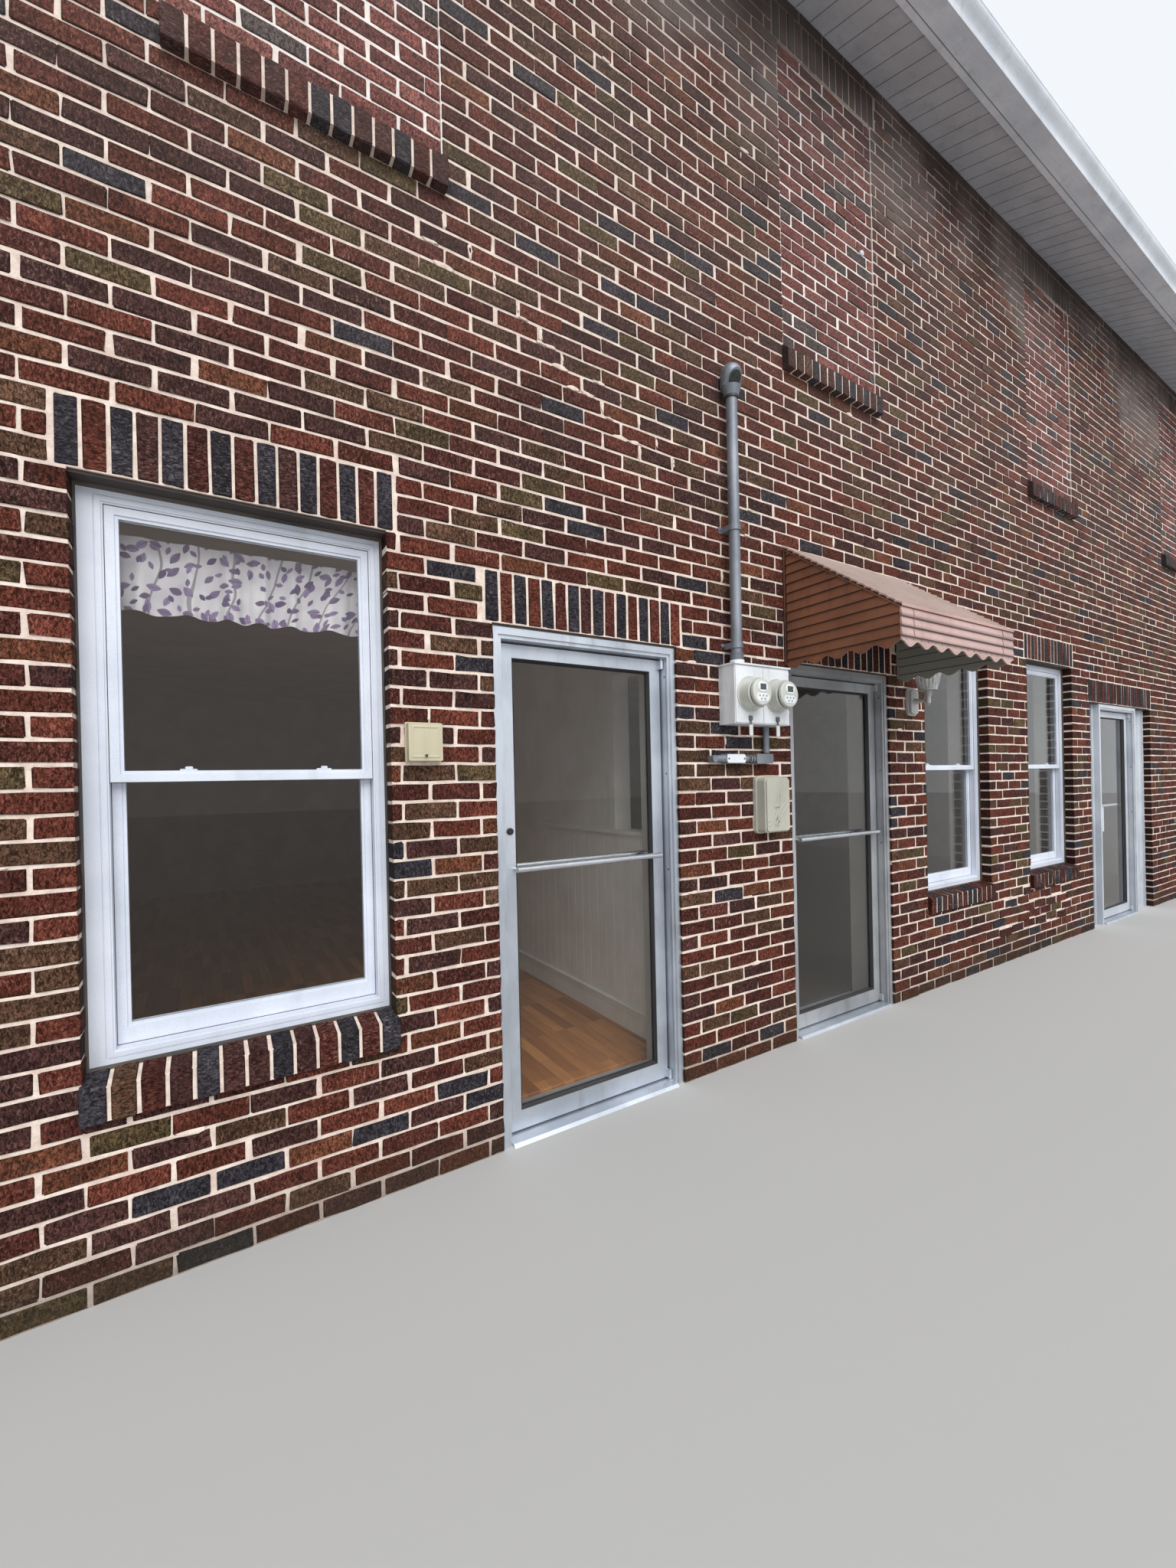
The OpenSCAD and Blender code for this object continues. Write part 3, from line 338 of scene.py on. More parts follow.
def border(section, u0, u1, z0, z1):
    # a closed outline of (inward, out) points carried round a rectangle and mitred at its corners
    inward, out = np.asarray(section, float).T
    ends = (u0 + inward, u1 - inward), (z0 + inward, z1 - inward)
    rings = np.stack([onWall(ends[0][i], ends[1][j], out) for i, j in ((0, 0), (1, 0), (1, 1), (0, 1))])
    return rings.reshape(-1, 3), gridFaces(4, len(inward), wrapRows=True, wrapColumns=True).tolist()


def spanOf(box, wall="front"):
    # the span of a box or a node along a wall, its heights and how far its outermost side stands out
    low, high = np.array(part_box(box) if isinstance(box, str) else box)
    side = {key: np.array(value, float) for key, value in walls[wall].items()}
    fromCorner = np.array([low, high]) - side["corner"]
    ends, outs = fromCorner @ side["right"], fromCorner @ side["out"]
    return ends.min(), ends.max(), low[2], high[2], outs.max()


def boxesByWall(node):
    # the spans of a node's solids, sorted by the wall that each lies in
    found = {name: [] for name in walls}
    for low, high in solidBoxes(node):
        x, y = (low[:2] + high[:2]) / 2
        gaps = {"front": y - front, "back": back - y, "left": x - left, "right": right - x}
        wall = min(gaps, key=gaps.get)
        found[wall].append(spanOf((low, high), wall))
    return {name: sorted(spans) for name, spans in found.items()}


lintels, sills = boxesByWall("steel_lintels"), boxesByWall("brick_sills")
infills, windows = boxesByWall("bricked_in_windows"), boxesByWall("window_frames")
print("wall openings read:", sum(len(v) for v in lintels.values()), "lintels")

brickwork = {
    "course": 0.070, "pitch": 0.203, "joint": 0.0108, "proud": 0.0034, "leastProud": 0.0024,
    "chamfer": 0.0030, "cornerRound": 0.9, "wobble": 0.0014, "lengthWobble": 0.0030, "soldierHeight": 0.210,
    "soldierPitch": 0.94 / 15, "soldierOver": 0.029, "shortest": 0.028, "jambDepth": 0.072,
    "panelDepth": 0.052, "doorwayDepth": 0.008, "infillDepth": 0.010, "nearJamb": 0.056,
    "bulge": 0.003, "leastHeight": 0.02, "soldierGaps": (0.004, 0.006, 0.004, 0.008), "soldierDepth": 0.02,
    "soldierMix": {"red": 0.5, "deepRed": 0.3, "maroon": 0.2},
}
# screen colours of the fired clays and how often each is laid in the field
clays = {
    "red": ((84, 43, 33), 0.24), "deepRed": ((72, 37, 31), 0.24), "maroon": ((63, 39, 36), 0.17),
    "orangeBrown": ((90, 53, 37), 0.05), "brown": ((75, 53, 40), 0.13), "olive": ((74, 60, 40), 0.045),
    "slate": ((48, 45, 50), 0.060), "infillRed": ((104, 58, 53), 0), "infillRose": ((116, 72, 65), 0),
    "infillGrey": ((70, 62, 60), 0), "infillDark": ((88, 50, 46), 0),
}


def clayColours(count, mix=None):
    # a mix is the share of each clay, and each brick's tone varies about that of its clay
    mix = mix or {name: share for name, (paint, share) in clays.items() if share}
    shares = np.array(list(mix.values()), float)
    palette = np.array([linear(clays[name][0])[:3] for name in mix])
    picked = random.choice(len(mix), count, p=shares / shares.sum())
    return palette[picked] * random.normal(1, 0.13, (count, 1)).clip(0.7, 1.35)


def pushAside(spans, hole):
    # spans are left, right, low, high, depth: each one that meets the hole keeps its parts beside
    # it, and the part under it where that is a cut brick; where the part beside it would be too
    # short, the next brick reaches to the hole's edge
    u0, u1, z0, z1, joint, depth = hole
    shortest, least = brickwork["shortest"], brickwork["leastHeight"]
    bulge = -joint or brickwork["bulge"]
    edge0, edge1 = u0 + bulge, u1 - bulge
    level = (spans[:, 2] < z1 - least) & (spans[:, 3] > z0 + least)
    crossing = level & (spans[:, 0] < edge1) & (spans[:, 1] > edge0)
    if joint == 0:
        beside, row = level & ~crossing, np.round(spans[:, 2] / brickwork["course"])
        cutAfter = np.isin(row, row[crossing & (spans[:, 1] - edge1 > shortest)])
        cutBefore = np.isin(row, row[crossing & (edge0 - spans[:, 0] > shortest)])
        near = brickwork["nearJamb"]
        after = beside & ~cutAfter & (spans[:, 0] >= edge1) & (spans[:, 0] < u1 + near)
        before = beside & ~cutBefore & (spans[:, 1] <= edge0) & (spans[:, 1] > u0 - near)
        spans[after, 0], spans[before, 1] = edge1, edge0
        spans[after | before, 4] = depth
    before, after, under = (spans[crossing] for part in range(3))
    before[:, 4] = after[:, 4] = depth
    before[:, 1] = np.minimum(before[:, 1], edge0)
    after[:, 0] = np.maximum(after[:, 0], edge1)
    under[:, 0], under[:, 1] = np.maximum(under[:, 0], u0 + 0.002), np.minimum(under[:, 1], u1 - 0.002)
    under[:, 3] = z0 - 0.004
    under = under[under[:, 3] - under[:, 2] > least]
    kept = np.concatenate([spans[~crossing], before, after, under])
    return kept[kept[:, 1] - kept[:, 0] > shortest]


def layCourses(u0, u1, z0, z1, shift, holes):
    # running bond: course k starts at z0 + k * course, and every second one is shifted by half a pitch
    pitch, course, joint = brickwork["pitch"], brickwork["course"], brickwork["joint"]
    k, n = np.arange(int(round((z1 - z0) / course))), np.arange(-1, int((u1 - u0) / pitch) + 2)
    k, n = (a.ravel() for a in np.meshgrid(k, n, indexing="ij"))
    start = u0 + (n + 0.5 * ((k + shift) % 2)) * pitch
    low = z0 + k * course + 0.4 * joint
    spans = np.stack([start, start + pitch - joint, low, low + course - joint, 0 * start], 1)
    spans[:, :2] += random.normal(0, brickwork["lengthWobble"], (len(spans), 2))
    spans[:, :2] = spans[:, :2].clip(u0, u1)
    spans = spans[spans[:, 1] - spans[:, 0] > brickwork["shortest"]]
    for hole in holes:
        spans = pushAside(spans, hole)
    return spans


def turnCorners(spans, length):
    # a full brick at a corner shows its end on the next wall, and a half one belongs to that wall
    atStart, atEnd = spans[:, 0] < 0.02, spans[:, 1] > length - 0.02
    spans[atStart | atEnd, 4] = 0.45 * brickwork["pitch"]
    short = (spans[:, 1] - spans[:, 0] < 0.6 * brickwork["pitch"]) & (atStart | atEnd)
    spans[atStart, 0], spans[atEnd, 1] = -brickwork["proud"], length + brickwork["proud"]
    return spans[~short]


def brickSurface(name, wall, spans, colours, made, out=0.0, fine=True, standing=False):
    # each brick is a grid over its face, whose rim lies one chamfer lower, and a skirt from the rim
    # back into the joint; every point wobbles a little, so that no edge is straight
    count, wobble, c = len(spans), brickwork["wobble"], brickwork["chamfer"] if fine else 0
    across, inset = np.array([[0, 0, 0.5, 1, 1], [0, 1, 0, -1, 0]] if fine else [[0, 1], [0, 0]])
    upward, insetUp = np.array([[0, 0, 1, 1], [0, 1, -1, 0]] if fine else [[0, 1], [0, 0]])[..., None]
    rows, columns = len(upward), len(across)
    u0, u1, z0, z1, deep = spans.T[..., None, None]
    u = u0 + (u1 - u0) * across + c * inset + np.zeros((rows, 1))
    z = z0 + (z1 - z0) * upward + c * insetUp + np.zeros(columns)
    u = u + random.normal(0, wobble, u.shape)
    z = z + random.normal(0, wobble, z.shape)
    rim = np.ones((rows, columns))
    rim[1:-1, 1:-1] = 0
    pull, i, j = c * brickwork["cornerRound"], [0, 0, -1, -1], [0, -1, 0, -1]
    u[:, i, j] += pull * np.array([1, -1, 1, -1])
    z[:, i, j] += pull * np.array([1, 1, -1, -1])
    stand = random.normal(brickwork["proud"], wobble, (count, 1, 1)).clip(brickwork["leastProud"])
    w = out + stand - c * rim + random.normal(0, 0.4 * wobble, (count, rows, columns))
    index = np.arange(rows * columns).reshape(rows, columns)
    ring = np.concatenate([index[0], index[1:, -1], index[-1, -2::-1], index[-2:0:-1, 0]])
    face = np.stack([u, z, w], -1).reshape(count, rows * columns, 3)
    skirt = face[:, ring].copy()
    skirt[..., 2] = out - 0.004 - deep[..., 0]
    every = np.concatenate([face, skirt], 1)
    perBrick, k = every.shape[1], rows * columns + np.arange(len(ring))
    sides = np.stack([ring, k, np.roll(k, -1), np.roll(ring, -1)], 1)
    faces = repeatFaces(np.concatenate([gridFaces(rows, columns), sides]), count, perBrick)
    local = every[..., :2] - spans[:, None, [0, 2]] + every[..., 2:]
    local = (local[..., ::-1] if standing else local) + random.uniform(0, 30, (count, 1, 2))
    edge = np.tile(np.concatenate([rim.ravel(), np.ones(len(ring))]), count)
    points = onWall(every[..., 0], every[..., 1], every[..., 2], wall)
    facts = {"clay": np.repeat(colours, perBrick, 0), "edge": edge}
    return makePiece(name, (points, faces), made, facts=facts, uv=local)


# The haze and the darkening at the eaves, partly sooting and partly painted shade under the soffit, set in
# where the height plus 0.9 of a noise passes these values
wallWeather = {
    "sootAndShadePaint": (62, 55, 54), "sootAndShadeFrom": 5.75, "sootAndShadeTo": 6.30, "sootAndShadeShare": 0.80,
    "hazePaint": (152, 143, 138), "hazeFrom": 5.00, "hazeTo": 5.75, "hazeShare": 0.50,
    "dustPaint": (150, 136, 130), "dustFrom": 2.2, "dustTo": 4.4, "dustShare": 0.11,
    "splashPaint": (50, 44, 34), "splashFrom": 0.10, "splashTo": 0.34, "splashShare": 0.62,
}


def weathered(look, colour, place, eaveDirtAndShade):
    # by height and broken by noise: damp at the foot, dust above the head, a pale haze, and at the eaves
    # sooting that is also painted shade under the soffit
    w, height = wallWeather, look.axes(place)[2]
    patches = look.noise(place, 1.3, 4, 0.6)
    high = look.math("ADD", height, look.math("MULTIPLY", patches, 0.9))
    low = look.math("ADD", height, look.math("MULTIPLY", patches, 0.25))
    haze = look.ramp(high, w["hazeFrom"], w["hazeTo"], 0, w["hazeShare"] * eaveDirtAndShade)
    shares = {
        "dust": look.ramp(height, w["dustFrom"], w["dustTo"], 0, w["dustShare"]),
        "haze": look.math("MULTIPLY", haze, look.ramp(look.noise(place, 0.9, 3, 0.6), 0.42, 0.62)),
        # darker towards the eaves: sooting, and painted shade under the soffit
        "sootAndShade": look.ramp(high, w["sootAndShadeFrom"], w["sootAndShadeTo"], 0, w["sootAndShadeShare"] * eaveDirtAndShade),
        "splash": look.ramp(low, w["splashFrom"], w["splashTo"], w["splashShare"], 0),
    }
    for kind, share in shares.items():
        colour = look.mix(share, colour, linear(w[kind + "Paint"]))
    return colour


rugFace = {"strokes": (150, 74, 1), "fleck": (420, 300, 1), "grooveShade": 0.30, "ridgeHighlight": 2.05,
           "edgeShade": 0.42, "sheen": 0.12, "dustPaint": (196, 176, 162), "burntPaint": (40, 36, 36)}


def brickLook(name, eaveDirtAndShade):
    # wire-cut strokes across the brick, with painted shade in their grooves and painted highlight on their
    # ridges,
    # a slow change of tone within it, a dark edge of painted shade, and dust on the ridges that also paints
    # highlight there
    look = newLook(name)
    surface, place = look.surface(), look.place()
    clay = look.add("Attribute", {}, attribute_name="clay")["Color"]
    edge = look.add("Attribute", {}, attribute_name="edge")["Fac"]
    rug = look.noise(surface, 1, 2, 0.5, 1.1, rugFace["strokes"])
    fleck = look.noise(surface, 1, 2, 0.6, 0.3, rugFace["fleck"])
    relief = look.math("ADD", look.math("MULTIPLY", rug, 0.76), look.math("MULTIPLY", fleck, 0.24))
    grit = look.noise(surface, 620, 2, 0.6)
    # painted shade in the strokes' grooves and painted highlight on their ridges, by the relief that also
    # makes the bump
    colour = look.times(clay, look.ramp(relief, 0.36, 0.66, rugFace["grooveShade"], rugFace["ridgeHighlight"]))
    colour = look.times(colour, look.ramp(look.noise(surface, 9, 2, 0.5), 0.3, 0.7, 0.78, 1.24))
    burnt = look.ramp(look.noise(surface, 14, 3, 0.6), 0.60, 0.74, 0, 0.5)
    colour = look.mix(burnt, colour, linear(rugFace["burntPaint"]))
    dusty = look.ramp(look.noise(place, 2.1, 4, 0.6), 0.4, 0.75, 0.05, 0.36)
    # pale dust on the ridges of the relief, which also stands for painted highlight on them
    dust = look.math("MULTIPLY", look.ramp(relief, 0.56, 0.70), dusty)
    colour = look.mix(dust, colour, linear(rugFace["dustPaint"]))
    # painted shade: the rim and the sides down into the joint darken by edgeShade
    colour = look.times(colour, look.ramp(edge, 0.0, 1.0, 1.0, rugFace["edgeShade"]))
    colour = weathered(look, colour, place, eaveDirtAndShade)
    rough = look.ramp(grit, 0.2, 0.8, 0.72, 0.95)
    look.shade({"Base Color": colour, "Roughness": rough, "Specular IOR Level": rugFace["sheen"]})
    look.bump(grit, 0.45, 0.0012, look.bump(relief, 1.0, 0.005))
    return look.made


mortarPaint = {"sand": (166, 143, 128), "plaster": ((166, 163, 157), (178, 175, 170)), "skin": 0.16,
               "wall": ((217, 196, 183), (243, 227, 214)), "infill": ((236, 222, 214), (252, 244, 238))}


def mortarLook(name, eaveDirtAndShade, dull, bright):
    # mortar outside and painted plaster inside, told apart by the depth behind the outer faces
    look = newLook(name)
    place = look.place()
    sides, skin = look.axes(place), mortarPaint["skin"]
    deepX = look.math("SUBTRACT", look.math("ABSOLUTE", sides[0]), right - skin)
    deepY = look.math("SUBTRACT", look.math("ABSOLUTE", sides[1]), back - skin)
    outside = look.math("GREATER_THAN", look.math("MAXIMUM", deepX, deepY), 0)
    sand, smear = look.noise(place, 240, 3, 0.7), look.noise(place, 26, 3, 0.6)
    mortar = look.mix(look.ramp(smear, 0.3, 0.7), linear(dull), linear(bright))
    mortar = look.mix(look.ramp(sand, 0.45, 0.8, 0, 0.4), mortar, linear(mortarPaint["sand"]))
    mortar = weathered(look, mortar, place, eaveDirtAndShade)
    tones = [linear(paint) for paint in mortarPaint["plaster"]]
    plaster = look.mix(look.ramp(look.noise(place, 3, 3, 0.5), 0.3, 0.7), *tones)
    colour = look.mix(outside, plaster, mortar)
    look.shade({"Base Color": colour, "Roughness": 0.93, "Specular IOR Level": 0.2})
    look.bump(sand, 0.6, 0.0015, look.bump(smear, 0.5, 0.006))
    return look.made


brickClay, infillClay = brickLook("rug_faced_brick", 1), brickLook("infill_brick", 0.3)
mortarAndPlaster = mortarLook("mortar_and_plaster", 1, *mortarPaint["wall"])
infillMortar = mortarLook("infill_mortar", 0.2, *mortarPaint["infill"])


def paintNode(node, made):
    slots = nodes[node].data.materials
    slots.clear()
    slots.append(made)


for node in nodes:
    if "wall" in node or node in ("brick_sills", "front_door_heads"):
        paintNode(node, mortarAndPlaster)
paintNode("bricked_in_windows", infillMortar)


def wallHoles(wall):
    # the openings with their sills, each with its course of soldiers, and the bricked-in windows
    over, high = brickwork["soldierOver"], brickwork["soldierHeight"]
    holes, soldiers = [], []
    for u0, u1, low, top, out in lintels[wall]:
        under = [s for s in sills[wall] if abs(s[0] - u0) < 0.05 and s[3] < top]
        doorway = brickwork["panelDepth" if u1 - u0 > 1.3 else "doorwayDepth"]
        jamb = brickwork["jambDepth"] if under else doorway
        holes.append((u0, u1, under[0][2] if under else -1, top, 0, jamb))
        soldiers.append((u0 - over, u1 + over, top, top + high))
    for u0, u1, low, top, out in infills[wall]:
        under = [s for s in sills[wall] if abs(s[0] - u0) < 0.05 and abs(s[3] - low) < 0.05]
        holes.append((u0, u1, under[0][2], top, 0, brickwork["infillDepth"]))
        soldiers.append((u0 - over, u1 + over, top, top + high))
    return holes + [s + (brickwork["joint"], 0) for s in soldiers], soldiers


def laySoldiers(wall, regions):
    # upright bricks side by side, every second one dark
    before, after, below, above = brickwork["soldierGaps"]
    spans, dark = [], []
    for u0, u1, z0, z1 in regions:
        count = int(round((u1 - u0) / brickwork["soldierPitch"]))
        pitch, k = (u1 - u0) / count, np.arange(count)
        start, zero = u0 + k * pitch, np.zeros(count)
        ends = [start + before, start + pitch - after, zero + z0 + below, zero + z1 - above]
        spans.append(np.stack([*ends, zero + brickwork["soldierDepth"]], 1))
        dark.append(k % 2 == 0)
    spans, dark = np.concatenate(spans), np.concatenate(dark)
    colours = clayColours(len(spans), brickwork["soldierMix"])
    colours[dark] = clayColours(dark.sum(), {"slate": 1})
    brickSurface(f"{wall}_soldiers", wall, spans, colours, brickClay, standing=True)


# Where bricks have slipped: left, right, low and high of each patch, and how far they moved
slipped = {"patches": ((3.43, 4.0, 0.84, 1.09), (6.30, 7.80, 0.20, 0.58)), "move": 0.0045, "loss": 0.004,
           "gapShare": 0.45, "gapHigh": 0.006}
openJoints = []


def loosen(spans):
    # bricks of a patch shift up or down and lose some height, and some joints under them are open, with a
    # dark strip of painted shade in the gap
    for u0, u1, z0, z1 in slipped["patches"]:
        inside = (spans[:, 0] > u0) & (spans[:, 1] < u1) & (spans[:, 2] > z0) & (spans[:, 3] < z1)
        count = inside.sum()
        spans[inside, 2:4] += random.normal(0, slipped["move"], (count, 1))
        spans[inside, 3] -= np.abs(random.normal(0, slipped["loss"], count))
        spans[inside, 0] += np.abs(random.normal(0, slipped["loss"], count))
        for row in spans[inside]:
            if random.uniform() < slipped["gapShare"]:
                ends = [random.uniform(row[0], 0.5 * (row[0] + row[1])), row[1] + 0.006]
                openJoints.append([*ends, row[2] - slipped["gapHigh"], row[2] + 0.002, -0.002, 0.0009])
    return spans


def layWall(wall, shift, parts, fine):
    # courses from the ground to the soffit, or to the gable's slope on a side wall: there the reach from
    # each end is (height - base) / rise
    holes, soldiers = wallHoles(wall)
    length, gabled = walls[wall]["length"], wall in ("left", "right")
    top = gable["base"] + gable["rise"] * length / 2 if gabled else soffitTop
    spans = turnCorners(layCourses(0, length, 0, top, shift, holes), length)
    if wall == "front":
        spans = loosen(spans)
    if gabled:
        reach = ((spans[:, 3] - gable["base"]) / gable["rise"]).clip(0, length / 2)
        high = spans[:, 3] > gable["base"]
        spans[high, 0] = np.maximum(spans[high, 0], reach[high])
        spans[high, 1] = np.minimum(spans[high, 1], length - reach[high])
        spans = spans[spans[:, 1] - spans[:, 0] > brickwork["shortest"]]
    edges = [-1] + parts + [99]
    for k, (low, high) in enumerate(zip(edges[:-1], edges[1:])):
        some = spans[(spans[:, 2] >= low) & (spans[:, 2] < high)]
        brickSurface(f"{wall}_bricks_{k + 1}", wall, some, clayColours(len(some)), brickClay, fine=fine)
    laySoldiers(wall, soldiers)


frontTop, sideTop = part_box("front_wall_upper")[1][2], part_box("left_wall")[1][2]
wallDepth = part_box("front_wall_upper")[1][1] - front
gable = {"rise": (sideTop - frontTop) / (back - wallDepth)}
gable["base"] = frontTop - gable["rise"] * wallDepth
for wall, shift, parts, fine in (("front", 0, [2.9], True), ("back", 0, [], False), ("left", 1, [], False),
                                 ("right", 1, [], False)):
    layWall(wall, shift, parts, fine)
print("bricks laid")

infillMix = {"infillRed": 0.50, "infillRose": 0.22, "infillGrey": 0.12, "infillDark": 0.16}


def layInfills(wall):
    # the brick panel in each old window, set back behind the wall's face, with mortar at both edges
    for k, (u0, u1, low, top, out) in enumerate(infills[wall]):
        spans = layCourses(u0 + 0.010, u1 - 0.008, low, top, 1, [])
        colours = clayColours(len(spans), infillMix)
        name, fine = f"{wall}_infill", wall == "front"
        brickSurface(f"{name}_{k + 1}", wall, spans, colours, infillClay, out=out, fine=fine)
        ends = ((u0 - 0.007, u0 + 0.008), (u1 - 0.008, u1 + 0.007))
        edges = blocks([[*end, low, top, out - 0.001, -0.0012] for end in ends], wall)
        made = infillMortar if fine else mortarAndPlaster
        makePiece(f"{name}_edges_{k + 1}", edges, made, closed=True)


for wall in walls:
    layInfills(wall)

# Below and above hold a sill's setback behind the wall's face and the fall of its top, by storey
rowlock = {"bricks": 13, "joint": 0.010, "proud": 0.004, "chamfer": 0.004, "below": (0.072, 0.017),
           "above": (0.008, 0.040), "upperFrom": 2.0, "wobble": (0.0012, 0.0008),
           "mix": {"slate": 0.48, "maroon": 0.30, "deepRed": 0.18, "brown": 0.04}}


def laySill(wall, k, sill):
    # bricks on edge: a sloped outline with cut corners is carried along the wall, and each brick
    # draws in at its two ends
    u0, u1, low, high, out = sill
    c, proud, count = rowlock["chamfer"], rowlock["proud"], rowlock["bricks"]
    setback, fall = rowlock["below" if high < rowlock["upperFrom"] else "above"]
    w0, w1 = -setback, out + proud
    z0, zFront, zBack = low - proud, high - fall + proud, high + proud
    outline = np.array([[w0, z0], [w1 - c, z0], [w1, z0 + c],
                        [w1, zFront - c], [w1 - c, zFront], [w0, zBack]])
    pitch = (u1 - u0 + rowlock["joint"]) / count
    start = u0 + np.arange(count) * pitch
    finish = start + pitch - rowlock["joint"]
    start[0], finish[-1] = u0 - proud, u1 + proud
    at = np.stack([start, start + c, finish - c, finish], 1)
    shrink, n = np.array([c, 0, 0, c]), len(outline)
    toward = unit(outline.mean(0) - outline)[None, None]
    ring = outline[None, None] + shrink[None, :, None, None] * toward * 1.2
    perBrick, perPoint = rowlock["wobble"]
    ring = ring + random.normal(0, perBrick, (count, 1, n, 2)) + random.normal(0, perPoint, (count, 4, n, 2))
    u = np.broadcast_to(at[:, :, None], ring.shape[:3])
    caps = np.array([[0, 1, 2, 3], [0, 3, 4, 5]])
    faces = np.concatenate([gridFaces(4, n, wrapColumns=True)[:, ::-1], caps, caps[:, ::-1] + 3 * n])
    local = np.stack([ring[..., 0] + ring[..., 1], u], -1) - np.array([low, 0])
    local = local + random.uniform(0, 30, (count, 1, 1, 2))
    colours = clayColours(count, rowlock["mix"])
    # the two ends of each sill brick, at its joints, take the same painted shade as an edge
    facts = {"clay": np.repeat(colours, 4 * n, 0), "edge": np.tile(np.repeat([0.8, 0, 0, 0.8], n), count)}
    shape = onWall(u, ring[..., 1], ring[..., 0], wall), repeatFaces(faces, count, 4 * n)
    makePiece(f"{wall}_sill_{k + 1}", shape, brickClay, facts=facts, uv=local)


for wall in walls:
    for k, sill in enumerate(sills[wall]):
        laySill(wall, k, sill)
print("sills laid")

even, upright, drawn, brushed, sideways = (1, 1, 1), (1, 1, 0.03), (1, 1, 0.05), (0.04, 1, 1), (0.1, 1, 1)
# Each finish has a paint, a second shade in patches, dirt in streaks and its share, a roughness, a
# share of metal, and the stretch, scale and depth in millimetres of a fine grain
finishes = {
    "windowVinyl": ((226, 231, 242), (211, 217, 229), (158, 155, 150), 0.22, 0.34, 0, even, 260, 0.3),
    "brightAluminium": ((208, 214, 222), (184, 190, 199), (118, 115, 108), 0.4, 0.4, 0.75, upright, 420, 0.3),
    "darkAluminium": ((186, 188, 191), (158, 160, 164), (96, 92, 86), 0.45, 0.44, 0.5, upright, 420, 0.3),
    "whiteAluminium": ((205, 210, 217), (186, 192, 200), (128, 126, 120), 0.35, 0.42, 0.1, drawn, 300, 0.3),
    "pushBarMetal": ((214, 216, 220), (188, 190, 195), (120, 116, 110), 0.2, 0.24, 0.95, brushed, 500, 0.1),
    "awningRose": ((198, 161, 150), (176, 140, 129), (116, 88, 79), 0.45, 0.52, 0, sideways, 160, 0.4),
    "awningBrown": ((136, 87, 62), (110, 70, 51), (62, 46, 40), 0.4, 0.5, 0, (1, 0.1, 1), 160, 0.4),
    "galvanised": ((148, 153, 161), (116, 121, 129), (92, 88, 84), 0.4, 0.5, 0.6, (1, 1, 0.4), 70, 0.4),
    "meterEnamel": ((236, 239, 242), (222, 226, 230), (122, 112, 100), 0.35, 0.4, 0, even, 220, 0.3),
    "meterCover": ((206, 207, 199), (188, 189, 181), (140, 136, 126), 0.2, 0.26, 0, even, 300, 0.2),
    "boxPlastic": ((190, 189, 176), (176, 175, 162), (120, 116, 104), 0.25, 0.55, 0, even, 700, 0.3),
    "creamPlastic": ((200, 192, 164), (188, 179, 150), (150, 136, 110), 0.3, 0.5, 0, even, 700, 0.2),
    "soffitPaint": ((206, 208, 214), (192, 194, 200), (140, 138, 136), 0.3, 0.5, 0, (1, 0.1, 1), 120, 0.3),
    "gutterPaint": ((216, 220, 227), (199, 204, 212), (150, 148, 144), 0.35, 0.36, 0, sideways, 120, 0.3),
    "lintelPaint": ((66, 56, 53), (50, 42, 40), (92, 66, 50), 0.6, 0.7, 0, (0.2, 1, 1), 150, 0.8),
    "wallPaint": ((233, 230, 225), (222, 219, 213), (160, 157, 150), 0.1, 0.6, 0, (1, 1, 0.1), 180, 0.2),
    "lanternPaint": ((190, 190, 187), (168, 168, 165), (112, 106, 98), 0.45, 0.5, 0.1, even, 240, 0.4),
    "blackRubberAndHoleShade": ((30, 30, 32), (40, 40, 41), (84, 80, 74), 0.25, 0.6, 0, even, 400, 0.2),
    "darkSealantAndGapShade": ((92, 86, 80), (64, 60, 57), (48, 44, 42), 0.5, 0.8, 0, even, 120, 1),
    "awningFrontRose": ((176, 147, 141), (156, 127, 121), (112, 88, 80), 0.4, 0.45, 0, sideways, 160, 0.4),
    "liningShadowLine": ((60, 62, 58), (50, 52, 48), (40, 40, 38), 0.3, 0.7, 0, even, 160, 0.3),
    "awningShade": ((44, 28, 23), (34, 22, 18), (26, 20, 18), 0.3, 0.7, 0, even, 160, 0.3),
    "roseClip": ((150, 118, 112), (128, 98, 92), (90, 70, 64), 0.4, 0.5, 0, even, 160, 0.3),
    "roseRimHighlight": ((204, 176, 168), (184, 154, 146), (120, 96, 88), 0.4, 0.5, 0, even, 160, 0.3),
    "displayGlass": ((72, 78, 74), (60, 66, 62), (90, 92, 88), 0.1, 0.15, 0, even, 300, 0.1),
    "meterFoot": ((46, 54, 46), (36, 42, 37), (70, 70, 64), 0.2, 0.4, 0, even, 300, 0.2),
    "dialMark": ((150, 152, 148), (138, 140, 136), (110, 108, 102), 0.1, 0.4, 0, even, 300, 0.1),
    "clearTag": ((222, 224, 222), (206, 208, 206), (150, 146, 138), 0.2, 0.2, 0, even, 300, 0.1),
    "paintedGapShade": ((112, 112, 116), (92, 92, 96), (70, 68, 68), 0.4, 0.6, 0, even, 160, 0.2),
    "steelScrew": ((122, 122, 122), (92, 92, 92), (70, 62, 54), 0.4, 0.4, 0.6, even, 300, 0.2),
}
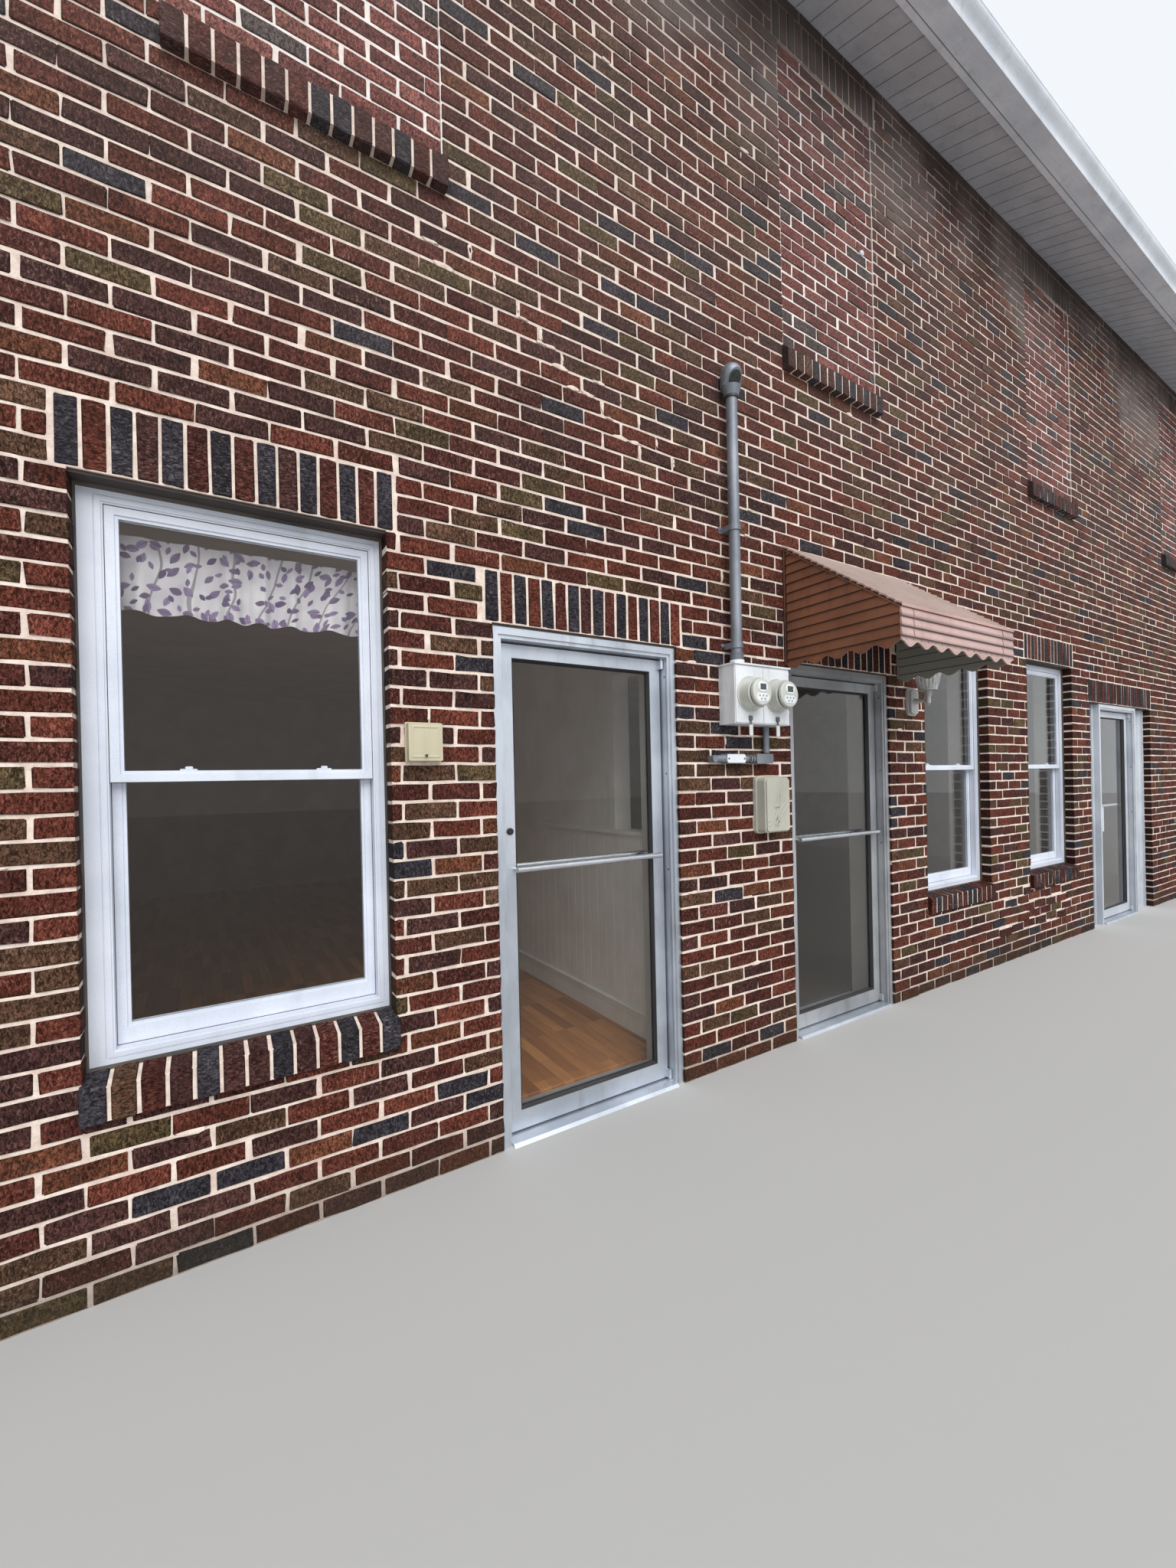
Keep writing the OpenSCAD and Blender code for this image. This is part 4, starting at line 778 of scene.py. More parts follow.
finishedNodes = {
    "lintelPaint": ["steel_lintels"], "windowVinyl": ["window_frames", "window_sashes", "valance_rod"],
    "brightAluminium": ["door_1_frame", "door_1_leaf", "door_thresholds"],
    "darkAluminium": ["door_2_frame", "door_2_leaf"],
    "whiteAluminium": ["door_3_frame", "door_3_leaf", "door_3_side_panels", "door_3_handles"],
    "pushBarMetal": ["door_1_push_bars", "door_2_push_bars"],
    "awningRose": ["awning_roof"], "awningBrown": ["awning_wings"], "awningFrontRose": ["awning_front"],
    "galvanised": ["service_mast", "meter_conduit"], "meterEnamel": ["meter_box"], "meterCover": ["meters"],
    "boxPlastic": ["telephone_box"], "creamPlastic": ["cable_box"], "lanternPaint": ["lantern_bracket"],
    "soffitPaint": ["soffits", "fascias", "verge_boards"], "gutterPaint": ["gutters"],
    "wallPaint": ["window_stools", "hall_partition", "upper_floor"],
}


def finishLook(name):
    # two paints in patches, dirt in upright streaks, and a grain in tone, roughness and relief
    paint, shade, dirt, dirtShare, rough, metal, stretch, scale, depth = finishes[name]
    look = newLook(name)
    place = look.place()
    patches = look.ramp(look.noise(place, 3.1, 4, 0.55), 0.35, 0.68)
    streaks = look.ramp(look.noise(place, 11, 5, 0.65, stretch=(1, 1, 0.16)), 0.5, 0.78, 0, dirtShare)
    grain = look.noise(place, scale, 3, 0.6, stretch=stretch)
    colour = look.mix(streaks, look.mix(patches, linear(paint), linear(shade)), linear(dirt))
    colour = look.times(colour, look.ramp(grain, 0.2, 0.8, 0.8, 1.12), 0.35)
    polish = look.ramp(grain, 0.2, 0.8, rough - 0.06, rough + 0.1)
    look.shade({"Base Color": colour, "Metallic": metal, "Roughness": polish})
    look.bump(grain, 0.5, 0.001 * depth)
    return look


finishLooks = {name: finishLook(name) for name in finishes}
for name, painted in finishedNodes.items():
    for node in painted:
        paintNode(node, finishLooks[name].made)

lining = {"paint": (150, 150, 142), "thick": 0.0114}
# shares of the front's paint for painted shade under each lip and painted highlight across each rib
frontBands = {"count": 3, "dark": 0.52, "light": 1.34, "low": 0.84, "hem": 0.048}


def lineAwning():
    # inside the awning the wings are bare grey: there |x - middle| is under half the width less the wing
    look, (low, high) = finishLooks["awningBrown"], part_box("awning_wings")
    away = look.math("ABSOLUTE", look.math("SUBTRACT", look.axes(look.place())[0], (low[0] + high[0]) / 2))
    inner = look.math("LESS_THAN", away, (high[0] - low[0]) / 2 - lining["thick"])
    look.shade({"Base Color": look.mix(inner, look.colour(), linear(lining["paint"]))})


def bandFront():
    # down each rib the paint goes from painted shade under the lip above to a band of painted highlight,
    # partly bleaching, and back
    look, (low, high), b = finishLooks["awningFrontRose"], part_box("awning_front"), frontBands
    down = look.math("SUBTRACT", high[2], look.axes(look.place())[2])
    t = look.math("FRACT", look.math("DIVIDE", down, (high[2] - low[2] - b["hem"]) / b["count"]))
    rise = look.ramp(t, 0.05, 0.40, b["dark"], b["light"])
    fall = look.ramp(t, 0.72, 0.98, 1.0, b["low"] / b["light"])
    look.shade({"Base Color": look.times(look.colour(), look.math("MULTIPLY", rise, fall))})


lineAwning()
bandFront()

glassLook = {"tint": (240, 243, 241), "rough": 0.0, "bend": 1.45, "mirror": (242, 228, 220)}


def glassMaterial():
    # clear to shadow and diffuse rays, so that daylight reaches the rooms
    look, g = newLook("clear_glass"), glassLook
    look.shade({"Base Color": linear(g["tint"]), "Roughness": g["rough"], "IOR": g["bend"],
                "Transmission Weight": 1, "Specular Tint": linear(g["mirror"])})
    rays = look.add("LightPath", {})
    passing = look.math("MAXIMUM", rays["Is Shadow Ray"], rays["Is Diffuse Ray"])
    clear = look.add("BsdfTransparent", {})[0]
    mixed = look.add("MixShader", {0: passing, 1: look.shader.outputs[0], 2: clear})[0]
    look.feed(look.tree.nodes["Material Output"], {"Surface": mixed})
    return look.made


laminate = {"strip": 0.064, "length": 0.46, "light": (190, 130, 78), "dark": (134, 82, 46),
            "seam": (76, 50, 34), "carpet": (60, 56, 52)}


def laminateMaterial():
    # strips along the depth of the house, grained the same way, and a dark carpet past the partition
    look = newLook("honey_laminate")
    place = look.place()
    turned = look.add("Mapping", {"Vector": place, "Rotation": (0, 0, math.pi / 2)})[0]
    light, dark, seam, carpet = (linear(laminate[key]) for key in ("light", "dark", "seam", "carpet"))
    strips = look.add("TexBrick", {
        "Vector": turned, "Color1": light, "Color2": dark, "Mortar": seam, "Scale": 1, "Mortar Size": 0.0006,
        "Brick Width": laminate["length"], "Row Height": laminate["strip"],
    }, offset=0.37, offset_frequency=3)["Color"]
    grain = look.noise(place, 60, 4, 0.6, 0.6, (1, 0.06, 1))
    colour = look.times(strips, look.ramp(grain, 0.25, 0.75, 0.72, 1.15), 0.8)
    past = look.math("GREATER_THAN", look.axes(place)[0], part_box("hall_partition")[1][0] - 0.02)
    look.shade({"Base Color": look.mix(past, colour, carpet), "Roughness": 0.34})
    look.bump(grain, 0.15, 0.0005)
    return look.made


clearGlass = glassMaterial()
for node in ("window_glass", "door_1_glass", "door_2_glass", "door_3_glass"):
    paintNode(node, clearGlass)
paintNode("ground_floor", laminateMaterial())
print("finishes ready")


def addTrim(name, shapes, finish, body="building", smooth=False):
    return makePiece(name, joined(shapes), finishLooks[finish].made, body, smooth, closed=True)


gasket = {"recess": 0.0058, "proud": 0.010, "lip": 0.0055, "panel": 0.010, "seat": 0.005, "thin": 0.0002}


def doorGaskets(number):
    # a black wedge runs round the pane on both faces, from the bead down to the glass
    u0, u1, z0, z1, face = spanOf(f"door_{number}_glass")
    outer, proud, lip, panel, seat, thin = gasket.values()
    section = [[-outer, seat], [-outer, seat + proud], [-outer / 2, seat + proud], [lip, 0.0025], [lip, thin],
               [thin, thin], [thin, seat]]
    outlines = [[[i, face - panel / 2 + side * (w + panel / 2)] for i, w in section] for side in (1, -1)]
    shapes = [border(outline, u0, u1, z0, z1) for outline in outlines]
    addTrim(f"door_{number}_gaskets", shapes, "blackRubberAndHoleShade", f"door_{number}")


jambScrews = {"heights": (1.03, 1.49, 1.955), "back": 0.028, "radius": 0.0055, "proud": 0.0018,
              "frameWidth": 0.045}


def doorScrews(number):
    # round heads on the inner side of the right jamb
    u0, u1, z0, z1, face = spanOf(f"door_{number}_frame")
    heights, back, r, h, width = jambScrews.values()
    u = u1 - width + np.array([0.001, -0.4 * h, -h])
    shapes = [swept(onWall(u, z, face - back), [r, r, 0.6 * r], 10) for z in heights]
    addTrim(f"door_{number}_jamb_screws", shapes, "steelScrew")


locks = {"at": {1: (2.375, 1.261), 2: (4.128, 1.243), 3: (8.540, 1.20)}, "radius": 0.0145, "proud": 0.010,
         "keyRadius": 0.006, "leafFace": -0.067}


def doorLock(number):
    # a round cylinder that narrows to its face, with a smaller drum for the key
    r, top, base = locks["radius"], locks["leafFace"] + locks["proud"], locks["leafFace"]
    u, z = locks["at"][number]
    shapes = [drum(u, z, [base - 0.001, base + 0.6 * locks["proud"], top], [r, r, 0.8 * r]),
              drum(u, z, [top - 0.001, top + 0.002], locks["keyRadius"], 12)]
    finish = "steelScrew" if number > 1 else "blackRubberAndHoleShade"
    addTrim(f"door_{number}_lock", shapes, finish, f"door_{number}")


for trim in (doorGaskets, doorScrews, doorLock):
    for number in (1, 2, 3):
        trim(number)
print("door trims ready")

awning = {
    "boards": 13, "slats": 18, "ribs": 3, "frontWaves": 8, "wingWaves": 5, "scallop": 0.028,
    "strip": 0.020, "lap": 0.007, "roofThick": 0.008, "seam": 0.003, "rimHeight": 0.006, "rimProud": 0.0025,
    "clipWidth": 0.006, "clipsAt": (0.09, 0.885), "clipProud": 0.0014, "tickPitch": 0.062,
    "wallStrip": 0.018, "vergeTop": -0.004, "vergeDrop": 0.008, "vergeProud": 0.0018,
}
awningLeft, awningRight, awningLow, awningTop, awningReach = spanOf("awning_wings")
awningRoof, awningFace = spanOf("awning_roof"), spanOf("awning_front")[4]
awningSlope = (awningTop - awningRoof[2]) / awningRoof[4]
awningSides = ((awningLeft, 1), (awningRight, -1))


def underAwning(out):
    # the roof's underside falls evenly from the wall
    return awningTop - out * awningSlope


def wingSpan(u, side, first, last):
    # two distances from a wing's outer face into the awning, in the order of the wall
    return sorted((u + side * first, u + side * last))


def awningSeams():
    # a thin shadow line under each lapped slat and board, as long as the wing is at that height
    rows, inner, grooves, strip = [], [], [], awning["wallStrip"]
    for k in range(1, awning["slats"]):
        out = k * awningRoof[4] / awning["slats"]
        z = underAwning(out) + awning["roofThick"]
        near, far, high = out - 0.001, out + 0.0012, z + 0.0030
        section = [[near, z], [far, z - 0.0004], [far, high], [near, high]]
        grooves.append(rail(section, awningLeft, awningRight))
    for k in range(1, awning["boards"]):
        z = awningTop - (awningTop - awningLow) * k / awning["boards"]
        out = min(awningReach, (awningTop - z) / awningSlope) - 0.004
        for u, side in awningSides:
            rows.append([*wingSpan(u, side, 0.0006, 0.0074), z - awning["seam"], z - 0.0003, strip, out])
            inner.append([*wingSpan(u, side, 0.010, 0.0130), z - 0.005, z - 0.001, strip, out])
    # upright lines of painted shadow on each wing's outer face, near the wall
    for u, side in awningSides:
        for w in (0.003, strip):
            heights = awningLow + 0.034, underAwning(w) - 0.012
            rows.append([*wingSpan(u, side, -0.0016, 0.006), *heights, w, w + 0.005])
    addTrim("awning_roof_grooves", grooves, "awningBrown")
    addTrim("awning_wing_seams", [blocks(rows)], "awningShade")
    # the inside of the wings takes the same painted shadow lines, in a grey
    addTrim("awning_inner_seams", [blocks(inner)], "liningShadowLine")


def awningVerges():
    # a strip under the roof's edge on each wing, with a dark tooth of painted shade at the end of each slat
    step, proud, high = awningRoof[4] / awning["slats"], awning["vergeProud"], awning["vergeTop"]
    low, strips, teeth = high - awning["vergeDrop"], [], []
    corners = ((0.002, high), (0.002, low), (awningReach, low), (awningReach, high))
    for u, side in awningSides:
        section = [[w, underAwning(w) + d] for w, d in corners]
        strips.append(rail(section, *wingSpan(u, side, -proud, 0.004)))
        for k in range(awning["slats"]):
            a, b = (k + 0.3) * step, min((k + 0.95) * step, awningRoof[4])
            section = [[w, underAwning(w) + d] for w, d in ((a, high), (b, high), (b, 0.006), (a, 0.003))]
            teeth.append(rail(section, *wingSpan(u, side, -proud - 0.0008, 0.002)))
    addTrim("awning_verge_strips", strips, "awningBrown")
    addTrim("awning_slat_ends", teeth, "awningShade")


def hemRim(length, waves):
    # along the hem, which is a cosine wave with a whole wave for each scallop, the four corners of its
    # rim: the distance along it, the height and how far it stands out
    share = np.linspace(0, 1, 10 * waves + 1)[:, None]
    high, proud = awning["rimHeight"], awning["rimProud"]
    hem = awningLow + awning["scallop"] - awning["scallop"] * (1 - np.cos(2 * math.pi * waves * share)) / 2
    z = hem + np.array([0, 0, high, high])
    return length * share + 0 * z, z, np.array([-0.001, proud, proud, -0.001]) + 0 * z


def awningFront():
    # clips over the ribs, ticks over the hem, and a rim along the wavy hems, lighter on the front as painted
    # highlight
    flat, over, width = awningFace - awning["lap"], awning["clipProud"], awningRight - awningLeft
    z1, z0 = underAwning(awningFace), awningLow + awning["scallop"] + awning["strip"]
    ribs = [[flat + over, z1]]
    for k in range(awning["ribs"]):
        z = z1 - (z1 - z0) * (k + 1) / awning["ribs"]
        ribs += [[awningFace + over, z], [flat + over, z - 0.0004]]
    ribs += [[flat + over, z0 - 0.012], [flat - 0.002, z0 - 0.012], [flat - 0.002, z1]]
    clips = [rail(ribs, u, u + awning["clipWidth"]) for u in awningLeft + width * np.array(awning["clipsAt"])]
    starts = np.arange(awningLeft + 0.04, awningRight, awning["tickPitch"])
    ticks = [[u, u + 0.002, z0 - 0.016, z0 - 0.004, flat, flat + 0.0012] for u in starts]
    along, z, proud = hemRim(width, awning["frontWaves"])
    frontRim = lofted(onWall(awningLeft + along, z, flat + proud))
    addTrim("awning_clips", clips, "roseClip")
    addTrim("awning_hem_ticks", [blocks(ticks)], "roseClip")
    addTrim("awning_front_rim", [frontRim], "roseRimHighlight")
    along, z, proud = hemRim(awningReach, awning["wingWaves"])
    rims = [lofted(onWall(u - side * proud + side * 0.001, z, along)) for u, side in awningSides]
    addTrim("awning_wing_rims", rims, "awningBrown")


awningSeams()
awningVerges()
awningFront()
print("awning trims ready")

# Plates of a meter from its middle and face, and latches and a tag from the foot and lid of the meter
# box: half width, low, high, inner and outer side, then corner radius, edge and steps
meterParts = {
    "hoods": [(0.034, 0.000, 0.052, -0.001, 0.0035, 0.026, 0.002, 6)],
    "displays": [(0.021, 0.010, 0.040, 0, 0.0042, 0.003)],
    "dial_plates": [(0.042, -0.046, -0.006, -0.001, 0.0018, 0.018, 0.001, 6)],
    "latches": [(0.010, 0.016, 0.040, 0, 0.010), (0.004, -0.006, 0.018, 0.004, 0.008)],
    "tags": [(0.012, -0.060, -0.004, 0.003, 0.008, 0.004)],
}
meterDial = {
    "marks": ((-0.024, -0.018), (0.0, -0.018), (0.024, -0.018), (-0.012, -0.034), (0.012, -0.034)),
    "markRadius": 0.0052, "neckRadius": 0.0622, "neckBack": 0.026, "neckFront": 0.016, "boxRim": 0.006,
}
meterFinishes = {
    "hoods": "meterEnamel", "displays": "displayGlass", "dial_plates": "meterEnamel",
    "dial_marks": "dialMark", "feet": "meterFoot", "latches": "steelScrew", "tags": "clearTag",
}


def meterTrims():
    # on each meter a hood with a display, a dial plate with plain marks, and the cover's dark foot
    d, shapes, box = meterDial, {key: [] for key in meterFinishes}, spanOf("meter_box")
    for solid in solidBoxes("meters"):
        u0, u1, z0, z1, face = spanOf(solid)
        u, z = (u0 + u1) / 2, (z0 + z1) / 2
        for key, plates in meterParts.items():
            foot, base = (box[2], box[4] - d["boxRim"]) if key in ("latches", "tags") else (z, face)
            for half, low, high, w0, w1, *rounding in plates:
                spans = u - half, u + half, foot + low, foot + high, base + w0, base + w1
                shapes[key].append(plate(*spans, *rounding))
        outs, neck = [face + 0.001, face + 0.0026], [face - d["neckBack"], face - d["neckFront"]]
        shapes["dial_marks"] += [drum(u + du, z + dz, outs, d["markRadius"], 12) for du, dz in d["marks"]]
        shapes["feet"].append(drum(u, z, neck, d["neckRadius"], 32))
    for key, finish in meterFinishes.items():
        addTrim(f"meter_{key}", shapes[key], finish)


mast = {
    "u": 3.586, "out": 0.0575, "foot": 2.052, "threads": 8, "threadPitch": 0.005, "radius": 0.028,
    "collarLow": 3.375, "top": 3.420, "hood": 0.109, "tiltDegrees": 35, "faceShare": 0.3,
    "faceRadius": 0.036, "holeRadius": 0.009, "holeRing": 0.017, "holeTurns": (0.5, 2.6, 4.7),
    "straps": (2.127, 2.717),
}


def mastTrims():
    # a threaded coupling at the foot, a black band under the collar, and the disc with its cable holes as
    # black discs of painted shade
    m, tilt = mast, math.radians(mast["tiltDegrees"])
    normal, side = np.array([[math.cos(tilt), -math.sin(tilt)], [math.sin(tilt), math.cos(tilt)]])
    middle = np.array([m["out"], m["top"] + m["hood"] / 2]) + m["faceShare"] * m["hood"] * normal

    def faceDrum(du, up, depths, radius, sides):
        at = middle + up * side + np.array(depths)[:, None] * normal
        return swept(onWall(m["u"] + du, at[:, 1], at[:, 0]), radius, sides)

    k = np.arange(2 * m["threads"] + 1)
    radii = m["radius"] + 0.004 + 0.0018 * (k % 2)
    coupling = post(m["u"], m["out"], m["foot"] - 0.001 + k * m["threadPitch"] / 2, radii)
    low, ring = m["collarLow"], m["holeRing"]
    bands = [post(m["u"], m["out"], [low - 0.010, low + 0.002], m["radius"] + 0.006),
             faceDrum(0, 0, [-0.002, 0.002], m["faceRadius"], 24)]
    holes = [faceDrum(ring * math.cos(a), ring * math.sin(a), [0.001, 0.0026], m["holeRadius"], 14)
             for a in m["holeTurns"]]
    screws = [drum(m["u"] + du, z, [0.004, 0.008, 0.0095], [0.0065, 0.0065, 0.004], 8)
              for z in m["straps"] for du in (-0.045, 0.045)]
    addTrim("mast_coupling", [coupling], "galvanised")
    addTrim("mast_bands", bands, "meterFoot")
    addTrim("mast_cable_holes", holes, "blackRubberAndHoleShade")
    addTrim("mast_strap_screws", screws, "steelScrew")


conduit = {"z": 1.560, "out": 0.025, "coverLeft": 3.510, "coverRight": 3.646, "rings": (3.681, 3.700, 3.719),
           "ringRadius": 0.0248, "ringWidth": 0.006, "pipeU": 3.822, "pipeTop": 1.588, "pipeRadius": 0.0182}


def conduitTrims():
    # the cover plate with its two screws, and dark rings round the pipe and at its top
    z, out, u0, u1, rings, radius, width, pipe, top, pipeRadius = conduit.values()
    screws = [drum(u, z, [0.049, 0.0515, 0.0525], [0.0055, 0.0055, 0.0035], 10)
              for u in (u0 + 0.013, u1 - 0.013)]
    cover = plate(u0 + 0.0035, u1 - 0.0035, z - 0.0215, z + 0.0215, 0.046, 0.0504, 0.011, 0.001, 6)
    bands = [swept(onWall(np.array([u, u + width]), z, out), radius, 16) for u in rings]
    bands.append(post(pipe, out, [top - 0.004, top + 0.003], pipeRadius, 16))
    addTrim("conduit_screws", screws, "steelScrew")
    addTrim("conduit_cover", [cover], "meterEnamel")
    addTrim("conduit_rings", bands, "meterFoot")


phoneRidges = {
    "radius": 0.0052, "points": 15,
    "curves": (((0.10, 0.13), (0.52, 0.33), (0.60, 0.72)), ((0.10, 0.21), (0.44, 0.38), (0.50, 0.72)),
               ((0.38, 0.13), (0.46, 0.42), (0.93, 0.60)), ((0.46, 0.13), (0.56, 0.36), (0.93, 0.50))),
}


def phoneTrims():
    # raised ridges on the cover, each along a parabola through a first, a pulling and a last point
    u0, u1, z0, z1, face = spanOf("telephone_box")
    t, shapes = np.linspace(0, 1, phoneRidges["points"])[:, None], []
    for first, pull, last in np.array(phoneRidges["curves"]):
        along = (1 - t) ** 2 * first + 2 * t * (1 - t) * pull + t ** 2 * last
        path = onWall(u0 + (u1 - u0) * along[:, 0], z0 + (z1 - z0) * along[:, 1], face + 0.0002)
        shapes.append(swept(path, phoneRidges["radius"] * np.sin(np.pi * (0.08 + 0.84 * t[:, 0])) ** 0.4, 8))
    addTrim("telephone_box_ridges", shapes, "boxPlastic", smooth=True)


cableTrim = {"border": 0.013, "proud": 0.0022, "slotHeight": 0.005, "slotLow": 0.016, "keyAt": 0.022,
             "keyRadius": 0.0058, "lockProud": 0.005}


def cableTrims():
    # a raised border on the cover, two slots beside the lock and a keyhole disc on the lock, both dark as
    # painted shade
    u0, u1, z0, z1, lock = spanOf("cable_box")
    b, h, slotHeight, slotLow, keyAt, keyRadius, lockProud = cableTrim.values()
    face, u, low = lock - lockProud, (u0 + u1) / 2, z0 + slotLow
    section = [[b - 0.003, face - 0.001], [b - 0.003, face + 0.4 * h], [b, face + h], [b + 0.003, face + h],
               [b + 0.006, face + 0.4 * h], [b + 0.006, face - 0.001]]
    raised = border(section, u0 + 0.004, u1 - 0.004, z0 + 0.004, z1 - 0.004)
    ends = ((u0 + 0.022, u - 0.012), (u + 0.012, u1 - 0.022))
    slots = [[*end, low, low + slotHeight, face - 0.001, face + 0.0008] for end in ends]
    key = drum(u, z0 + keyAt, [lock - 0.001, lock + 0.001], keyRadius, 12)
    addTrim("cable_box_border", [raised], "creamPlastic")
    addTrim("cable_box_slots", [blocks(slots)], "darkSealantAndGapShade")
    addTrim("cable_box_key", [key], "darkSealantAndGapShade")


for trims in (meterTrims, mastTrims, conduitTrims, phoneTrims, cableTrims):
    trims()
print("wall fittings ready")

# Seams across the soffit, and beads along the gutter and fascia as distances out, low and high; the seams and
# the dark bead are painted shade
eave = {
    "pitch": 0.127, "width": 0.0035, "depth": 0.0012, "verge": 0.150,
    "bright": ((0.388, 0.4185, 5.6425, 5.6480), (0.5705, 0.5835, 5.7755, 5.7825)),
    "dark": ((0.4190, 0.4225, 5.6445, 5.6470),),
}


def soffitTrims():
    # narrow dark strips of painted shade for the seams across the soffit, from the wall to the fascia
    rise, verge, near, far, shapes = math.tan(roofPitch), eave["verge"], 0.003, soffitReach - 0.002, []
    w = np.array([near, far, far, near])
    z = soffitTop - w * rise + np.array([0.001, 0.001, -eave["depth"], -eave["depth"]])
    for wall in ("front", "back"):
        starts = np.arange(-verge + 0.05, walls[wall]["length"] + verge, eave["pitch"])
        u = np.stack([starts, starts + eave["width"]], 1)[:, :, None]
        points = onWall(u, z, w, wall).reshape(-1, 3)
        shapes.append((points, repeatFaces(boxFaces, len(starts), 8).tolist()))
    addTrim("soffit_seams", shapes, "paintedGapShade")


def gutterLines(tone, finish):
    # long thin boxes, past both ends of the wall by the verge
    verge = eave["verge"]
    rows = [blocks([-verge, walls[wall]["length"] + verge, z0, z1, w0, w1], wall)
            for wall in ("front", "back") for w0, w1, z0, z1 in eave[tone]]
    addTrim(f"gutter_{tone}_beads", rows, finish)


soffitTrims()
gutterLines("bright", "gutterPaint")
# the dark bead is painted shade in the gap between the fascia and the gutter
gutterLines("dark", "paintedGapShade")
print("soffit ready")

valance = {
    "folds": 7.4, "depth": 0.016, "columns": 260, "rows": 36, "hemWave": 0.008, "topDepth": 0.40,
    "cloth": (222, 216, 217), "shade": (196, 190, 196), "leafPlum": (84, 66, 100), "leafGrey": (84, 80, 90),
    "leafPale": (146, 124, 162), "stem": (96, 88, 98), "weave": 1500,
    "leaves": ((15, 0.024, 0.0125, 0), (17, 0.019, 0.0105, 3.1), (21, 0.014, 0.008, 7.7)), "leafless": 0.22,
}


def leafLayer(look, surface, cells, length, width, shift):
    # one pointed leaf in each cell, turned at random: it covers where 1 - x^2 - |y| is above zero
    moved = look.add("Mapping", {"Vector": surface, "Location": (shift, 0.37 * shift, 0)})[0]
    pattern = {"Vector": moved, "Scale": cells, "Randomness": 0.75}
    spots = look.add("TexVoronoi", pattern, voronoi_dimensions="2D")
    off = look.add("VectorMath", {0: moved, 1: spots["Position"]}, operation="SUBTRACT")[0]
    chance = look.axes(spots["Color"])
    turn = look.math("MULTIPLY", chance[0], 2 * math.pi)
    sides = look.axes(look.add("VectorRotate", {"Vector": off, "Angle": turn}, rotation_type="Z_AXIS")[0])
    x = look.math("DIVIDE", sides[0], length)
    y = look.math("ABSOLUTE", look.math("DIVIDE", sides[1], width))
    inside = look.math("SUBTRACT", look.math("SUBTRACT", 1.0, look.math("MULTIPLY", x, x)), y)
    kept = look.math("GREATER_THAN", chance[1], valance["leafless"])
    return look.math("MULTIPLY", look.ramp(inside, 0.0, 0.12), kept), chance[2], look.ramp(y, 0.03, 0.12)


def valanceMaterial():
    # white cotton with loose sprigs of leaves in greys and plum, and a fine weave
    look = newLook("printed_cotton")
    surface, paints = look.surface(), ("cloth", "shade", "stem", "leafPlum", "leafGrey", "leafPale")
    cloth, shade, stem, plum, grey, pale = (linear(valance[key]) for key in paints)
    colour = look.mix(look.ramp(look.noise(surface, 9, 2), 0.3, 0.7), cloth, shade)
    wave = {"Vector": surface, "Scale": 2.6, "Distortion": 3.2, "Detail": 1.0, "Detail Scale": 1.6}
    colour = look.mix(look.ramp(look.add("TexWave", wave)["Fac"], 0.985, 0.996, 0, 0.7), colour, stem)
    for layer in valance["leaves"]:
        leaf, chance, rib = leafLayer(look, surface, *layer)
        tone = look.mix(look.math("MULTIPLY", chance, rib), look.mix(chance, plum, grey), pale)
        colour = look.mix(leaf, colour, tone)
    look.shade({"Base Color": colour, "Roughness": 0.92, "Sheen Weight": 0.2})
    look.bump(look.noise(surface, valance["weave"], 1), 0.3, 0.0002)
    return look.made


def hangValance():
    # depth = fold * sin(2 pi folds a + drift) grows from the rod to the hem, where a runs across and b
    # down; the hem rises a little at each fold
    v, (u0, u1, z0, z1, out) = valance, spanOf("valance")
    a, b = np.linspace(0, 1, v["columns"])[None, :], np.linspace(0, 1, v["rows"])[:, None]
    turn = 2 * math.pi * v["folds"] * a + 1.1 * np.sin(2 * math.pi * 1.7 * a + 0.6) + 0.35 * b
    deep = v["depth"] * (v["topDepth"] + (1 - v["topDepth"]) * b)
    fold = deep * np.sin(turn) + 0.25 * deep * np.sin(2.3 * turn + 1.0)
    w = (spanOf("valance_rod")[4] + 0.0065) - 0.006 * b + fold.clip(-0.004 - 0.012 * b, 0.016)
    u = u0 + (u1 - u0) * (0.012 + 0.976 * a) + 0.002 * np.cos(turn) * b
    z = z1 - 0.003 - (z1 - z0 - 0.012) * b + v["hemWave"] * b * np.sin(turn + 0.9) * 0.5
    points = onWall(u, z, w)
    across = np.cumsum(np.linalg.norm(np.diff(points, axis=1, prepend=points[:, :1]), axis=2), 1)
    shape, flat = (points, gridFaces(v["rows"], v["columns"])), np.stack([across, z1 - 0.003 - z], -1)
    piece = makePiece("window_valance", shape, valanceMaterial(), smooth=True, uv=flat)
    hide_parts("valance")


hangValance()

shade = {"flutes": 18, "flute": 0.048, "sides": 108, "foot": 0.054, "flare": 0.024, "power": 0.8,
         "wall": 0.003, "rings": 14, "paint": (226, 230, 228), "rough": 0.12, "hole": 0.019}


def shadeMaterial():
    # half clear, half white glass with dust in patches
    look = newLook("fluted_glass")
    dusty = look.ramp(look.noise(look.place(), 40, 3), 0.3, 0.7, 0.7, 1.05)
    look.shade({"Base Color": look.times(linear(shade["paint"]), dusty), "Roughness": shade["rough"],
                "Transmission Weight": 0.5, "IOR": 1.45})
    return look.made


